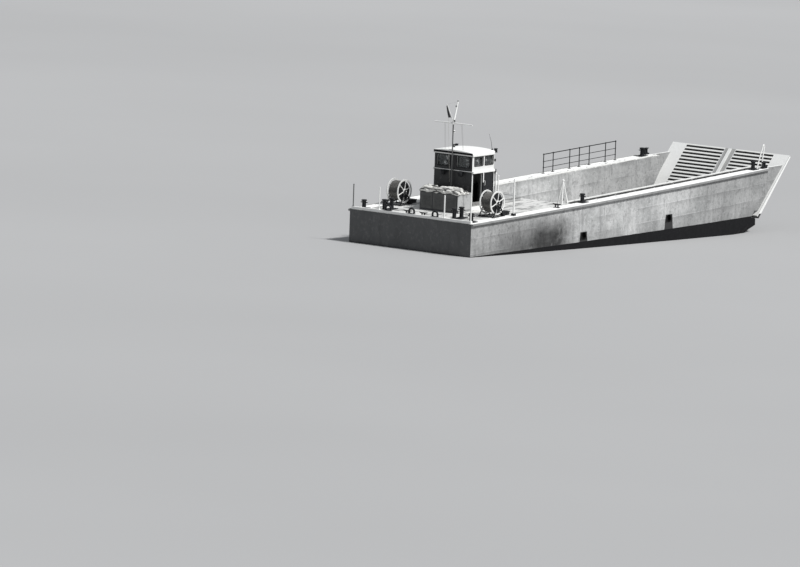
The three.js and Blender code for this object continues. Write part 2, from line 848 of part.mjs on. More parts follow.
function ropeReel() {
  const { x, radius, pack, width, lift, leg, axle } = REEL;
  const face = width / 2;
  const wheel = (y) => {
    const spokes = [0, 60, 120].map((degrees) => {
      const g = new THREE.BoxGeometry(44, 24, 2 * radius - 60);
      g.rotateY(THREE.MathUtils.degToRad(degrees));
      g.translate(0, y, 0);
      return solid(g);
    });
    const hub = rod([0, y - 22, 0], [0, y + 22, 0], 80, 16);
    return join(ring(radius - 48, radius, y - 15, y + 15, 32), spokes, hub);
  };
  const drum = rod([0, 25 - face, 0], [0, face - 25, 0], pack, 28);
  const ends = face + leg + 28;
  const shaft = rod([0, -ends, 0], [0, ends, 0], axle, 24);
  return join(wheel(15 - face), wheel(face - 15), drum, shaft).translate([x, 0, deck(x) + lift]);
}

// Colours of the paint and metal
const paint = (name, color, roughness = 0.6, metalness = 0) =>
  new THREE.MeshStandardMaterial({ name, color, roughness, metalness });
const GREY = paint("hull_grey", 0x9a9c9c);
const WHITE = paint("house_white", 0xd8d8d4);
const DARK = paint("dark_grey", 0x3a3c3e);
const DECK = paint("deck_grey", 0xb9bab6, 0.8);
const STEEL = paint("steel", 0x77797a, 0.4, 0.8);
const BRONZE = paint("bronze", 0xb08d4a, 0.3, 0.9);
const GLASS = paint("glass", 0x9fb3b8, 0.05);
const CANVAS_PAINT = paint("canvas", 0xc9c7bd, 0.95);
const BUNTING = paint("flag_cloth", 0x2c2c30, 0.9);

const craft = new THREE.Group();
craft.position.x = -ORIGIN;

function add(name, made, material) {
  const mesh = made.getMesh();
  const g = new THREE.BufferGeometry();
  g.setAttribute("position", new THREE.Float32BufferAttribute(mesh.vertProperties, 3));
  g.setIndex(new THREE.Uint32BufferAttribute(mesh.triVerts, 1));
  const flat = g.toNonIndexed();
  flat.computeVertexNormals();
  const piece = new THREE.Mesh(flat, material);
  piece.name = name;
  craft.add(piece);
}

add("hull_aft", hullAft(), GREY);
add("hull_bottom", hullBottom(), GREY);
add("cargo_deck", cargoDeck(), DECK);
add("bow_ramp", ramp(), DECK);
add("wheelhouse_walls", houseWalls(), WHITE);
add("wheelhouse_roof", houseRoof(), WHITE);
for (const name of ["aft", "front", "starboard", "port"])
  add(`glass_${name}`, glassPane(name), GLASS);
add("helm_console", helmConsole(), DARK);
add("engine_trunk", trunk(), GREY);
add("canvas_cover", canvasCover(), CANVAS_PAINT);
add("engine_hatch", hatchLid(), GREY);
add("mast", mast(), WHITE);
add("flag", flag(), BUNTING);
add("stern_fittings", sternFittings(), WHITE);
add("guard_rail_port", guardRail(), STEEL);
add("vent_pipes", ventPipes(), WHITE);
add("deck_post", deckPost(), WHITE);
add("deck_tripod", deckTripod(), WHITE);
add("bow_frame", bowFrame(), WHITE);
for (const { name, sign } of sides) {
  const shaftSide = sign * SHAFT.y;
  add(`wing_${name}`, sided(wing(), sign), GREY);
  add(`rub_rail_${name}`, sided(rubRail(), sign), WHITE);
  add(`well_coaming_${name}`, sided(wellCoaming(), sign), WHITE);
  add(`skeg_${name}`, sided(skeg(), sign), GREY);
  add(`rudder_${name}`, rudder().translate([0, shaftSide, 0]), GREY);
  add(`propeller_${name}`, propeller().translate([SHAFT.propX, shaftSide, SHAFT.z]), BRONZE);
  add(`engine_${name}`, engineBlock().translate([0, shaftSide, 0]), DARK);
  add(`wheelhouse_door_${name}`, sided(door(), sign), DARK);
  add(`door_track_${name}`, sided(doorTrack(), sign), STEEL);
  add(`door_hood_${name}`, sided(doorHood(), sign), WHITE);
  add(`reel_stand_${name}`, reelStand().translate([0, sign * REEL.y, 0]), STEEL);
  add(`rope_reel_${name}`, ropeReel().translate([0, sign * REEL.y, 0]), STEEL);
  add(`bow_fairlead_${name}`, sided(bowFairlead(), sign), DARK);
  add(`bow_bollards_${name}`, bollard(19830, sign * 2800, 0), DARK);
  add(`side_bollards_${name}`, bollard(7730, sign * 2790, 0), DARK);
  add(`stern_bitts_${name}`, bollard(820, sign * 1720, 480, 450), DARK);
  add(`stern_bollard_${name}`, bollard(460, sign * 2640, 0), DARK);
}

export default craft;
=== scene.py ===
import json
from math import atan2, copysign, cos, pi, radians, sin, sqrt, tau
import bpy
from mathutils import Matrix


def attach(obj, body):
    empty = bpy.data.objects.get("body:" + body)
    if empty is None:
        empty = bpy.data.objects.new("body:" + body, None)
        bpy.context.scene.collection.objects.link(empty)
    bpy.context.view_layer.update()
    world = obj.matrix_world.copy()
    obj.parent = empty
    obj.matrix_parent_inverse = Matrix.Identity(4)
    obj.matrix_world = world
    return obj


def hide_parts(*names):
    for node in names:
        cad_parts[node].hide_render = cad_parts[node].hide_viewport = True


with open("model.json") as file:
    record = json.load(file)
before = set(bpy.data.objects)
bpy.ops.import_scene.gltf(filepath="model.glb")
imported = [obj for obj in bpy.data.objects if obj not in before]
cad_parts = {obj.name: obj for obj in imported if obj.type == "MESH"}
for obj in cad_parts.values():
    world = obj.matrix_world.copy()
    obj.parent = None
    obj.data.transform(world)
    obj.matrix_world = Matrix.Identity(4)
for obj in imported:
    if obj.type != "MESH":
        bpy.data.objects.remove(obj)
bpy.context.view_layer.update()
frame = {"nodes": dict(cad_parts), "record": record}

from types import SimpleNamespace as Sizes

import bmesh
import bpy
from mathutils import Matrix, Vector, noise

SCENE = bpy.context.scene

# Driving sizes, in metres. Places along the craft are measured forward from
# the transom, and MID takes them to the frame's origin.
MID = 11.314
STATIONS = [  # distance forward, half beam, height of the deck
    (0, 2.984, 2.744),
    (3.15, 3.091, 2.828),
    (7, 3.177, 2.932),
    (10, 3.211, 3.02),
    (14, 3.21, 3.138),
    (17, 3.175, 3.231),
    (20.5, 3.1, 3.34),
]
BOOT_TOP = 1.45  # top edge of the black paint at the waterline
WATER_AFT = 1.43  # waterline at the transom
WATER_SLOPE = -0.035  # its change in height for each metre forward
RAMP = Sizes(x=20.03, z=1.308, angle=radians(46), length=3.31, half=2.95)
RAMP_FACES = Sizes(inner=0.06, outer=-0.13, rise=0.08)  # heights over the line through the hinge
TREAD = Sizes(lane=2.19, depth=0.028, pitch=0.183)
SCUPPERS = [(7.36, 1.835), (13.26, 2.045)]  # distance forward, top
HOUSE = Sizes(aft=2.75, fore=4.21, half=0.93, top=5.0373, belt=4.4, foot=3.16)
WINDOWS = Sizes(low=1.79, high=2.12, side=[(2.9, 3.46), (3.6, 4.13)], aft=[(-0.8, -0.17), (0.17, 0.8)])
FRONT_WINDOWS = (-0.6, 0, 0.6)  # middles, to port
DOOR = Sizes(aft=3.43, fore=4.13, low=0.31, high=1.52, face=0.978)
TRUNK = Sizes(aft=1.85, half=0.93, top=3.5633, fore=2.7)
CANVAS = Sizes(aft=1.836, fore=2.55, half=0.943, skirt=0.03, end=0.09, most=0.237)
REEL = Sizes(x=2.28, y=2.294, radius=0.475, pack=0.395, width=0.56, lift=0.555, leg=0.06)
MAST = Sizes(x=2.65, knee=6.2, top=7.15, rake=0.29, yard=6.25, half=0.93, peak_x=2.2, peak_z=7.035)
FLAG = Sizes(top=6.978, low=6.492)
SHAFT = Sizes(x=1.7, y=1.45, z=0.62, radius=0.43)
HATCH = Sizes(x=5.8, z=0.2003)
GUARD = Sizes(xs=[13.07, 13.74, 14.91, 15.59, 16.3, 17.45, 18.17], y=3, height=0.79)

# The camera that fits the craft's edges in the photograph
CAMERA = Sizes(at=(-226.722 - MID, -168.55, 39.538), yaw=0.6404, pitch=0.1388, roll=0.033, lens=325.7)

SIDES = [("starboard", -1), ("port", 1)]
AHEAD, ACROSS = (1, 0, 0), (0, 1, 0)


def table_at(x, column):
    """A value of the hull's table, worked out between two stations."""
    rows = [row for row in zip(STATIONS, STATIONS[1:]) if x <= row[1][0]] or [STATIONS[-2:]]
    a, b = rows[0]
    return a[column] + (b[column] - a[column]) * (x - a[0]) / (b[0] - a[0])


def deck(x):
    return table_at(x, 2)


def turns(count, start=0):
    """Angles at even steps round a circle."""
    return [tau * k / count + start for k in range(count)]


def half_turn(steps):
    return [pi * k / steps for k in range(steps + 1)]


def on_circle(radius, turn):
    return radius * cos(turn), radius * sin(turn)


def on_wheel(radius, turn, y=0):
    """A point round an axle that lies athwartships."""
    return radius * cos(turn), y, radius * sin(turn)


def add_object(name, data):
    made = bpy.data.objects.new(name, data)
    SCENE.collection.objects.link(made)
    return made


def add_piece(bm, name, finish, body="hull", node=None):
    mesh = bpy.data.meshes.new(name)
    bm.to_mesh(mesh)
    bm.free()
    mesh.materials.append(MATERIALS[finish])
    piece = add_object(name, mesh)
    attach(piece, body)
    if node:
        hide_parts(node)
    return piece


class Shape:
    """Closed bodies gathered into one mesh, placed from the point that at() sets."""

    def __init__(self, x=0, y=0, z=0):
        self.bm = bmesh.new()
        self.at(x, y, z)

    def at(self, x, y, z):
        self.origin = Vector((x, y, z))
        return self

    def round_off(self, verts, bevel):
        edges = {e for v in verts for e in v.link_edges if e.is_manifold and e.calc_face_angle(0) > 0.5}
        settings = {"segments": 2, "profile": 0.7, "affect": "EDGES", "clamp_overlap": True}
        bmesh.ops.bevel(self.bm, geom=list(edges), offset=bevel, **settings)

    def box(self, corner, other, bevel=0.004, turn=None):
        size = [abs(b - a) for a, b in zip(corner, other)]
        middle = self.origin + Vector([(a + b) / 2 for a, b in zip(corner, other)])
        matrix = Matrix.Translation(middle) @ (turn or Matrix()) @ Matrix.Diagonal((*size, 1))
        made = bmesh.ops.create_cube(self.bm, size=1, matrix=matrix)
        if bevel:
            self.round_off(made["verts"], bevel)

    def pad(self, along, across, low, high, bevel=0.004):
        """A box about the set point, by half its length and half its width."""
        self.box((-along, -across, low), (along, across, high), bevel)

    def loops(self, loops, closed=False, bevel=0):
        """Joins loops of points, in order, into one body capped at its ends."""
        made = [[self.bm.verts.new(self.origin + Vector(p)) for p in loop] for loop in loops]
        for a, b in zip(made, made[1:] + made[:1] if closed else made[1:]):
            for i in range(len(a)):
                j = (i + 1) % len(a)
                self.bm.faces.new((a[i], a[j], b[j], b[i]))
        if not closed:
            self.bm.faces.new(made[0])
            self.bm.faces.new(made[-1])
        if bevel:
            self.bm.normal_update()
            self.round_off([v for loop in made for v in loop], bevel)

    def tube(self, path, radius, sides=12, closed=False):
        points = [Vector(p) for p in path]
        count = len(points)
        made = []
        side = None
        for i, point in enumerate(points):
            before = points[i - 1] if i or closed else point
            after = points[(i + 1) % count] if i + 1 < count or closed else point
            ahead = (after - before).normalized()
            side = side or ahead.orthogonal().normalized()
            side = (side - ahead * side.dot(ahead)).normalized()
            up = ahead.cross(side)
            r = radius[i] if isinstance(radius, list) else radius
            made.append([point + side * a + up * b for a, b in [on_circle(r, t) for t in turns(sides)]])
        self.loops(made, closed)

    def lathe(self, profile, at=(0, 0, 0), axis=(0, 0, 1), sides=24, closed=False):
        """Turns a profile of (radius, distance along) about an axis."""
        turn = Vector((0, 0, 1)).rotation_difference(Vector(axis))
        made = [
            [Vector(at) + turn @ Vector((*on_circle(r, t), along)) for t in turns(sides)]
            for r, along in profile
        ]
        self.loops(made, closed)

    def build(self, name, finish, body="hull", node=None, sharp=40, slot=None):
        bm = self.bm
        bmesh.ops.recalc_face_normals(bm, faces=bm.faces)
        bmesh.ops.translate(bm, vec=(-MID, 0, 0), verts=bm.verts)
        limit = radians(sharp)
        for face in bm.faces:
            face.smooth = True
        for edge in bm.edges:
            edge.smooth = len(edge.link_faces) == 2 and edge.calc_face_angle(0) < limit
        return add_piece(bm, name, finish, body, node)


def rounded(low, high, radius, steps=4):
    """A rectangle with round corners, in a plane."""
    x0, y0, x1, y1 = low[0] + radius, low[1] + radius, high[0] - radius, high[1] - radius
    points = []
    for i, (x, y) in enumerate([(x1, y1), (x0, y1), (x0, y0), (x1, y0)]):
        for k in range(steps + 1):
            a, b = on_circle(radius, pi / 2 * (i + k / steps))
            points.append((x + a, y + b))
    return points


class Value:
    """A number or a colour worked out by a material's nodes."""

    def __init__(self, graph, socket):
        self.graph, self.socket = graph, socket

    def __add__(self, other):
        return self.graph.math("ADD", self, other)

    def __sub__(self, other):
        return self.graph.math("SUBTRACT", self, other)

    def __rsub__(self, other):
        return self.graph.math("SUBTRACT", other, self)

    def __mul__(self, other):
        return self.graph.math("MULTIPLY", self, other)

    def __truediv__(self, other):
        return self.graph.math("DIVIDE", self, other)

    def __abs__(self):
        return self.graph.math("ABSOLUTE", self)


class Graph:
    """A material's nodes, with values taken from the object's own coordinates."""

    def __init__(self, name, roughness=0.6, metallic=0, **inputs):
        self.material = bpy.data.materials.new(name)
        self.material.use_nodes = True
        self.tree = self.material.node_tree
        self.inputs = self.tree.nodes["Principled BSDF"].inputs
        self.fill(self.inputs, Roughness=roughness, Metallic=metallic, **inputs)
        self.place = self.tree.nodes.new("ShaderNodeTexCoord").outputs["Object"]

    def add(self, kind, *values, **settings):
        node = self.tree.nodes.new(kind)
        for key, value in settings.items():
            setattr(node, key, value)
        for socket, value in zip(node.inputs, values):
            self.put(socket, value)
        return node

    def put(self, socket, value):
        value = value.socket if isinstance(value, Value) else value
        if isinstance(value, bpy.types.NodeSocket):
            self.tree.links.new(value, socket)
        elif value is not None:
            socket.default_value = value

    def fill(self, inputs, **values):
        for name, value in values.items():
            self.put(inputs[name.replace("_", " ")], value)

    def math(self, operation, *values):
        return Value(self, self.add("ShaderNodeMath", *values, operation=operation).outputs[0])

    def axes(self):
        """Metres forward of the transom, to port and up."""
        x, y, z = [Value(self, s) for s in self.add("ShaderNodeSeparateXYZ", self.place).outputs]
        return x + MID, y, z

    def normal(self):
        geometry = self.add("ShaderNodeNewGeometry")
        node = self.add("ShaderNodeSeparateXYZ", geometry.outputs["Normal"])
        return [Value(self, s) for s in node.outputs]

    def noise(self, scale, stretch=(1, 1, 1), detail=3, rough=0.55):
        mapping = self.add("ShaderNodeMapping", self.place)
        self.fill(mapping.inputs, Scale=stretch)
        made = self.add("ShaderNodeTexNoise", mapping.outputs[0])
        self.fill(made.inputs, Scale=scale, Detail=detail, Roughness=rough)
        return Value(self, made.outputs["Fac"])

    def between(self, value, low, high, start=0, end=1):
        return Value(self, self.add("ShaderNodeMapRange", value, low, high, start, end).outputs[0])

    def spots(self, low, high, most, scale, stretch=(1, 1, 1), detail=3, rough=0.55, least=0):
        """Patches where a noise lies above two limits, with the most that they count."""
        return self.between(self.noise(scale, stretch, detail, rough), low, high, least, most)

    def inside(self, value, low, high, soft=0.004):
        """1 where a value lies between two limits, else 0."""
        half = (high - low) / 2
        return self.between(abs(value - (low + high) / 2), half + soft, half - soft)

    def mix(self, factor, a, b):
        node = self.add("ShaderNodeMix", data_type="RGBA")
        rows = [("Factor", "VALUE", factor), ("A", "RGBA", grey(a)), ("B", "RGBA", grey(b))]
        for name, kind, value in rows:
            self.put(next(s for s in node.inputs if s.name == name and s.type == kind), value)
        return Value(self, next(s for s in node.outputs if s.type == "RGBA"))

    def coats(self, body, *coats):
        """Lays coats of (share, colour) on a colour, in turn."""
        for share, color in coats:
            body = self.mix(share, body, color)
        return body

    def bump(self, height, strength, distance, below=None):
        node = self.add("ShaderNodeBump")
        self.fill(node.inputs, Strength=strength, Distance=distance, Height=height, Normal=below)
        return Value(self, node.outputs[0])

    def finish(self, color, roughness=None, normal=None, **inputs):
        """Roughness is a number, a value, or a noise's scale with the two ends of its range."""
        if isinstance(roughness, tuple):
            scale, low, high = roughness
            roughness = self.spots(0.3, 0.7, high, scale, least=low)
        self.fill(self.inputs, Base_Color=grey(color), Roughness=roughness, Normal=normal, **inputs)
        return self.material


def grey(value):
    """A colour with alpha from one number or three. Others are left as they are."""
    if isinstance(value, (int, float)):
        return (value, value, value, 1)
    return (*value, 1) if isinstance(value, tuple) and len(value) == 3 else value


def worn(g, color, dirt=0.25, grain=9, streak=0.25):
    """Colour with blotches, runs of dirt and fine grain."""
    blotch = g.spots(0.42, 0.72, dirt, 0.7, detail=5)
    run = g.spots(0.48, 0.74, streak, 3.2, (1, 1, 0.12), 6)
    fine = g.spots(0.35, 0.75, dirt * 0.8, grain, detail=8, rough=0.7)
    total = g.math("MAXIMUM", g.math("MAXIMUM", blotch, run), fine)
    return g.mix(total, color, tuple(c * 0.45 for c in color))


def line_at(g, value, pitch, width):
    """1 on thin lines at each pitch of a value, else 0."""
    off = abs(g.math("FRACT", value / pitch) - 0.5)
    return g.between(off, 0.5 - width / pitch, 0.5 - width / pitch * 0.4)


def station_line(g, x, column, operation):
    """The table's value at x: the least or greatest of the lines through the stations."""
    best = None
    for a, b in zip(STATIONS, STATIONS[1:]):
        slope = (b[column] - a[column]) / (b[0] - a[0])
        line = x * slope + (a[column] - slope * a[0])
        best = g.math(operation, best, line) if best else line
    return best


def beam_at(g, x):
    return station_line(g, x, 1, "MINIMUM")


def weathered_side(g, x, z):
    """Hull side: patched and streaked grey paint, strakes that follow the sheer with painted shade below
    each strake line and a painted highlight just above it, and butts.
    """
    strake = g.math("FRACT", (station_line(g, x, 2, "MAXIMUM") - z + g.noise(0.8, detail=2) * 0.05) / 0.62)
    butt = line_at(g, x, 2.35, 0.014)
    side = g.coats(
        (0.56, 0.562, 0.555),
        (g.spots(0.4, 0.62, 1, 0.42, (1, 1, 1.5), 5, 0.6), (0.38, 0.385, 0.38)),
        (g.spots(0.5, 0.72, 0.55, 1.9, (1.6, 1, 0.16), 7, 0.65), 0.15),
        (g.spots(0.52, 0.75, 0.5, 2.3, (1.4, 1, 0.2), 6, 0.6), 0.62),
        (g.spots(0.5, 0.74, 0.6, 5.5, (1, 1, 0.7), 8, 0.72), 0.15),
        (g.spots(0.52, 0.66, 0.55, 9, (1, 1, 0.8), 8, 0.75), 0.12),
        (g.spots(0.55, 0.68, 0.6, 7.5, (1, 1, 1.3), 7, 0.75), 0.75),
        # painted shade: a darker band just below each strake line, under the plate's lap
        (g.between(strake, 0, 0.35, 1, 0) * g.spots(0.4, 0.65, 0.5, 0.5, (1, 1, 0.3), 4), 0.16),
        # painted highlight: a thin lighter band just above each strake line
        (g.between(strake, 0.93, 0.97) * g.spots(0.45, 0.6, 0.4, 0.7, (1, 1, 0.3), 4), 0.66),
        (butt * 0.25, 0.12),
        (g.between(z, 1.42, 2.1, 1, 0) * g.spots(0.35, 0.65, 0.6, 1.1, (1.2, 1, 0.5), 6), 0.12),
        (g.between(x, 2.5, 8, 0.36, 0) + g.between(x, 13, 17, 0, 0.36), 0.03),
    )
    return side, g.math("MAXIMUM", butt, g.between(strake, 0.96, 0.99))


def outer_part(g, y, z, nx):
    """1 on the hull's outside and underneath, and 0 on the well's own sides."""
    ends = g.math("MAXIMUM", g.between(abs(y), 2.45, 2.5), g.between(abs(nx), 0.5, 0.6))
    return g.math("MAXIMUM", ends, g.between(z, 1.24, 1.22))


def scupper_marks(g, x, z, ny, outside):
    """Coats for the dark runs below the scuppers, and near-black painted shade inside the holes themselves.
    """
    runs, hole_shades = [], []
    for middle, top in SCUPPERS:
        wander = x + g.noise(2.2, (1, 1, 0.5), 4) * 0.2
        wide = g.between(g.between(z, top - 0.6, top, 0.33, 0.25) - abs(wander - (middle + 0.1)), 0, 0.06)
        run = wide * g.between(z, top + 0.02, top - 0.01) * outside
        runs.append((run, g.mix(g.between(z, top - 0.34, top - 0.3), 0.03, 0.004)))
        hole = g.inside(x, middle - 0.2, middle + 0.2) * g.inside(z, top - 0.4, top + 0.03) * outside
        # painted shade: the recess's inner faces are painted near black
        hole_shades.append((hole * g.between(abs(ny), 0.7, 0.5), 0.003))
    return runs, hole_shades


def soot(g, x, z):
    """Smudge that the exhaust leaves on the side near the waterline."""
    drift = x + (g.noise(1.1, detail=6, rough=0.65) - 0.5) * 2.6
    low = g.between(z - g.noise(0.9, detail=4) * 0.9, 1.45, 2.4, 1, 0)
    cloudy = g.spots(0.35, 0.65, 1, 4, detail=8, rough=0.75, least=0.86)
    near = g.between(drift, 6.6, 5.6) * g.between(drift, 0.9, 4.5)
    return near * low * g.spots(0.22, 0.4, 1, 1.6, (1, 1, 0.7), 7) * cloudy


def side_deck(g, x, y):
    """Trodden deck with a white rim along its edge and a near-black strip of painted shade beside the well.
    """
    ragged = beam_at(g, x) - abs(y) + (g.noise(3, detail=5) - 0.5) * 0.16
    rim = g.mix(g.spots(0.57, 0.64, 0.8, 3.5, detail=8, rough=0.75), (0.88, 0.88, 0.86), 0.12)
    # painted shade: a near-black strip along the side deck's inboard edge, beside the coaming
    shade_strip = g.inside(abs(y), 2.44, 2.67) * g.between(x, 7.1, 7.2) * g.between(x, 20.35, 20.3)
    return g.coats(
        worn(g, (0.68, 0.68, 0.66), 0.45, 14, 0),
        (g.spots(0.5, 0.62, 0.75, 2.6, (0.5, 1.2, 1), 7, 0.65), 0.1),
        (g.between(ragged, 0.5, 0.47), rim),
        (shade_strip, 0.006),
    )


def hull_paint():
    g = Graph("hull_paint", 0.62)
    x, y, z = g.axes()
    nx, ny, nz = g.normal()
    side, seam = weathered_side(g, x, z)
    outside = g.between(abs(y), 2.7, 2.75)
    runs, hole_shades = scupper_marks(g, x, z, ny, outside)
    stern = worn(g, (0.105, 0.107, 0.108), 0.4, 7, 0.5)
    stern = g.mix(g.spots(0.52, 0.68, 0.5, 8, (1, 1, 0.7), 8, 0.75), stern, 0.2)
    edge = z + g.noise(2.5, detail=4) * 0.03
    black = g.between(edge, BOOT_TOP + 0.02, BOOT_TOP + 0.012) * outer_part(g, y, z, nx)
    body = g.coats(
        side,
        *runs,
        (soot(g, x, z) * outside, 0.02),
        (g.between(nx, -0.8, -0.9), stern),
        (g.between(nz, 0.9, 0.97), side_deck(g, x, y)),
        # painted shade inside the scupper holes
        *hole_shades,
        (black, worn(g, (0.012, 0.012, 0.013), 0.3, 7, 0.2)),
    )
    gloss = g.between(black, 0, 1, 0.3, 0.08)
    normal = g.bump(g.noise(0.55, (1, 1, 0.7), 1), 0.35, 0.05)
    normal = g.bump(g.math("SINE", x * (tau / 0.6)), 0.25, 0.006, normal)
    normal = g.bump(seam, 0.5, 0.006, normal)
    normal = g.bump(g.noise(26, detail=6), 0.25, 0.004, normal)
    rough = g.spots(0.3, 0.7, 0.78, 5, detail=5, least=0.5)
    return g.finish(body, rough, normal, Specular_IOR_Level=gloss)


def rail_paint():
    """Rubbing strake: white on top, hull grey on its face and painted shade on its underside."""
    g = Graph("rail_paint", 0.6)
    x, y, _ = g.axes()
    _, _, nz = g.normal()
    top = g.between(nz, 0.1, 0.2) * g.between(abs(y) - beam_at(g, x), 0.045, 0.03)
    body = g.coats(
        worn(g, (0.29, 0.292, 0.288), 0.5, 7, 0.3),
        (g.spots(0.5, 0.65, 0.6, 3, (1, 1, 3), 7, 0.7), 0.13),
        (top, worn(g, (0.88, 0.88, 0.86), 0.25, 14, 0)),
        # painted shade: faces turned downwards are painted darker
        (g.between(nz, -0.1, -0.2), 0.12),
    )
    return g.finish(body, (6, 0.45, 0.75), g.bump(g.noise(18, detail=6), 0.4, 0.004))


def dents(g, grain, fine, scale, coarse):
    """Fine grain over shallow dents in plating."""
    return g.bump(g.noise(scale, detail=1), coarse, 0.02, g.bump(g.noise(grain, detail=5), fine, 0.003))


def plain_paint(name, color, dirt=0.25, streak=0.3, rough=0.55):
    g = Graph(name, rough, Specular_IOR_Level=0.15 if color[0] < 0.1 else 0.4)
    chips = g.spots(0.66, 0.7, 0.6, 17, detail=9, rough=0.75)
    body = g.mix(chips, worn(g, color, dirt, 11, streak), (0.1, 0.075, 0.06))
    return g.finish(body, (6, rough - 0.1, rough + 0.15), dents(g, 30, 0.2, 1.7, 0.25))


def house_walls():
    """White belt and corners over grey sides, a dark after face and a dull inside."""
    g = Graph("house_walls", 0.5)
    x, y, z = g.axes()
    nx, _, _ = g.normal()
    dark = worn(g, (0.024, 0.025, 0.026), 0.3, 9, 0.4)
    dark = g.mix(g.spots(0.58, 0.66, 0.5, 6, detail=8, rough=0.75), dark, 0.13)
    within = g.between(abs(y), 0.9, 0.88) * g.between(x, 2.78, 2.8) * g.between(x, 4.19, 4.17)
    body = g.coats(
        worn(g, (0.3, 0.305, 0.3), 0.3, 11, 0.4),
        (g.between(z, HOUSE.belt - 0.004, HOUSE.belt + 0.004), worn(g, (0.76, 0.76, 0.74), 0.25, 11, 0.35)),
        (g.between(nx, -0.8, -0.9) * g.between(x, 2.78, 2.76), dark),
        (within, worn(g, (0.16, 0.165, 0.16), 0.3, 9, 0.3)),
    )
    return g.finish(body, (6, 0.42, 0.62), dents(g, 30, 0.2, 1.3, 0.3))


def trunk_paint():
    """Dark louvred after end, pale sides and a trodden top."""
    g = Graph("trunk_paint", 0.6)
    _, _, z = g.axes()
    nx, _, nz = g.normal()
    foot = deck(1.8)
    end = worn(g, (0.055, 0.057, 0.06), 0.3, 9, 0.4)
    end = g.mix(g.spots(0.55, 0.66, 0.5, 6, (1, 1, 0.5), 8, 0.75), end, 0.2)
    body = g.coats(
        worn(g, (0.45, 0.455, 0.45), 0.25, 9, 0.4),
        (g.spots(0.52, 0.62, 0.7, 5, (1, 1, 0.5), 8, 0.75), 0.09),
        (g.between(z, foot + 0.14, foot + 0.06), 0.03),
        (g.between(nx, -0.8, -0.9), end),
        (g.between(nz, 0.8, 0.9), worn(g, (0.42, 0.42, 0.4), 0.5, 13, 0)),
    )
    return g.finish(body, (6, 0.5, 0.75), dents(g, 28, 0.25, 1.9, 0.3))


def deck_paint():
    g = Graph("deck_paint", 0.8)
    tracks = g.spots(0.5, 0.72, 0.45, 1.6, (0.1, 1.6, 1), 6)
    body = g.mix(tracks, worn(g, (0.47, 0.47, 0.455), 0.55, 13, 0), 0.14)
    return g.finish(body, 0.82, g.bump(g.noise(140, detail=2), 0.35, 0.003))


def ramp_paint():
    """Pale tread bars, each with a painted shadow line, over gaps painted near black as shade, and edges
    painted white as a highlight: the height is measured from the ramp's face.
    """
    g = Graph("ramp_paint", 0.6)
    x, y, z = g.axes()
    slope, rise = cos(RAMP.angle), sin(RAMP.angle)
    dx, dz = x - RAMP.x, z - RAMP.z
    along = dx * slope + dz * rise
    above = dz * slope - dx * rise
    across = abs(y)
    top = RAMP_FACES.inner
    # painted highlight: this white is laid on the ramp's side and tip edges
    white = worn(g, (0.85, 0.85, 0.83), 0.25, 13, 0)
    soiled = worn(g, (0.85, 0.85, 0.83), 0.3, 13, 0)
    sides = g.between(across, TREAD.lane, TREAD.lane + 0.01)
    margin = g.math("MAXIMUM", g.between(across, 0.29, 0.28), sides)
    phase = g.math("FRACT", (RAMP.length - 0.17 - along) / TREAD.pitch)
    # painted shadow: a dark line across each tread bar at one point of its pitch
    bar_shadow = g.between(phase + g.noise(9, detail=4) * 0.1, 0.47, 0.5)
    bar = g.mix(bar_shadow, worn(g, (0.88, 0.88, 0.85), 0.3, 16, 0), 0.05)
    strip = g.coats(
        worn(g, (0.4, 0.4, 0.39), 0.4, 13, 0),
        (g.between(across, 1, 1.5), worn(g, (0.86, 0.86, 0.84), 0.3, 13, 0)),
        (g.inside(across, 0.26, 0.3), 0.75),
    )
    # the ramp's side and tip edges, painted white as a highlight
    rims = g.between(across, RAMP.half - 0.004, RAMP.half - 0.002)
    edge = g.math("MAXIMUM", rims, g.between(along, RAMP.length - 0.005, RAMP.length - 0.001))
    inner = g.coats(
        # painted shade: the ramp face between the bars is near black
        worn(g, (0.035, 0.034, 0.033), 0.5, 13, 0),
        (g.between(above, top - 0.008, top - 0.002), bar),
        (margin, strip),
        (g.between(above, top + 0.01, top + 0.02), soiled),
        (edge, white),
    )
    gaps = top - TREAD.depth
    body = g.coats(
        worn(g, (0.37, 0.375, 0.37), 0.3, 7, 0.4),
        (edge, white),
        (g.between(above, gaps - 0.006, gaps - 0.003), inner),
        (g.between(above, 0, -0.02) * g.between(z, BOOT_TOP + 0.02, BOOT_TOP), 0.014),
    )
    return g.finish(body, (7, 0.45, 0.75), g.bump(g.noise(40, detail=5), 0.3, 0.003))


def bare_steel():
    g = Graph("bare_steel", 0.45, 0.75)
    rust = g.spots(0.56, 0.68, 0.7, 6, detail=8, rough=0.7)
    body = g.mix(rust, worn(g, (0.36, 0.355, 0.35), 0.5, 12, 0.3), (0.16, 0.075, 0.04))
    return g.finish(body, (9, 0.35, 0.7), g.bump(g.noise(40), 0.3, 0.002))


def bronze():
    g = Graph("cast_bronze", 0.38, 0.9)
    body = g.mix(g.spots(0.45, 0.7, 1, 7, detail=6), (0.5, 0.33, 0.13), (0.16, 0.17, 0.12))
    return g.finish(body, (11, 0.3, 0.55), g.bump(g.noise(60), 0.2, 0.002))


def clear_glass():
    g = Graph("clear_glass", 0.06, IOR=1.45)
    dust = g.spots(0.52, 0.68, 1, 3.2, detail=6, rough=0.65)
    body = g.mix(dust, (0.2, 0.215, 0.215), (0.75, 0.76, 0.75))
    clear = g.between(dust, 0, 1, 0.92, 0.25)
    return g.finish(body, g.between(dust, 0, 1, 0.04, 0.4), Transmission_Weight=clear)


def lamp_lens():
    g = Graph("lamp_lens", 0.12, Transmission_Weight=0.55)
    _, _, z = g.axes()
    ribs = line_at(g, z, 0.012, 0.005)
    return g.finish(g.mix(g.noise(9), (0.3, 0.31, 0.3), 0.2), None, g.bump(ribs, 0.5, 0.002))


def weave(g, pitch, depth, below=None):
    """Threads crossing in the three planes, as bump."""
    a, b, c = [g.math("SINE", axis * (tau / pitch)) for axis in g.axes()]
    return g.bump(a * b + b * c, 0.5, depth, below)


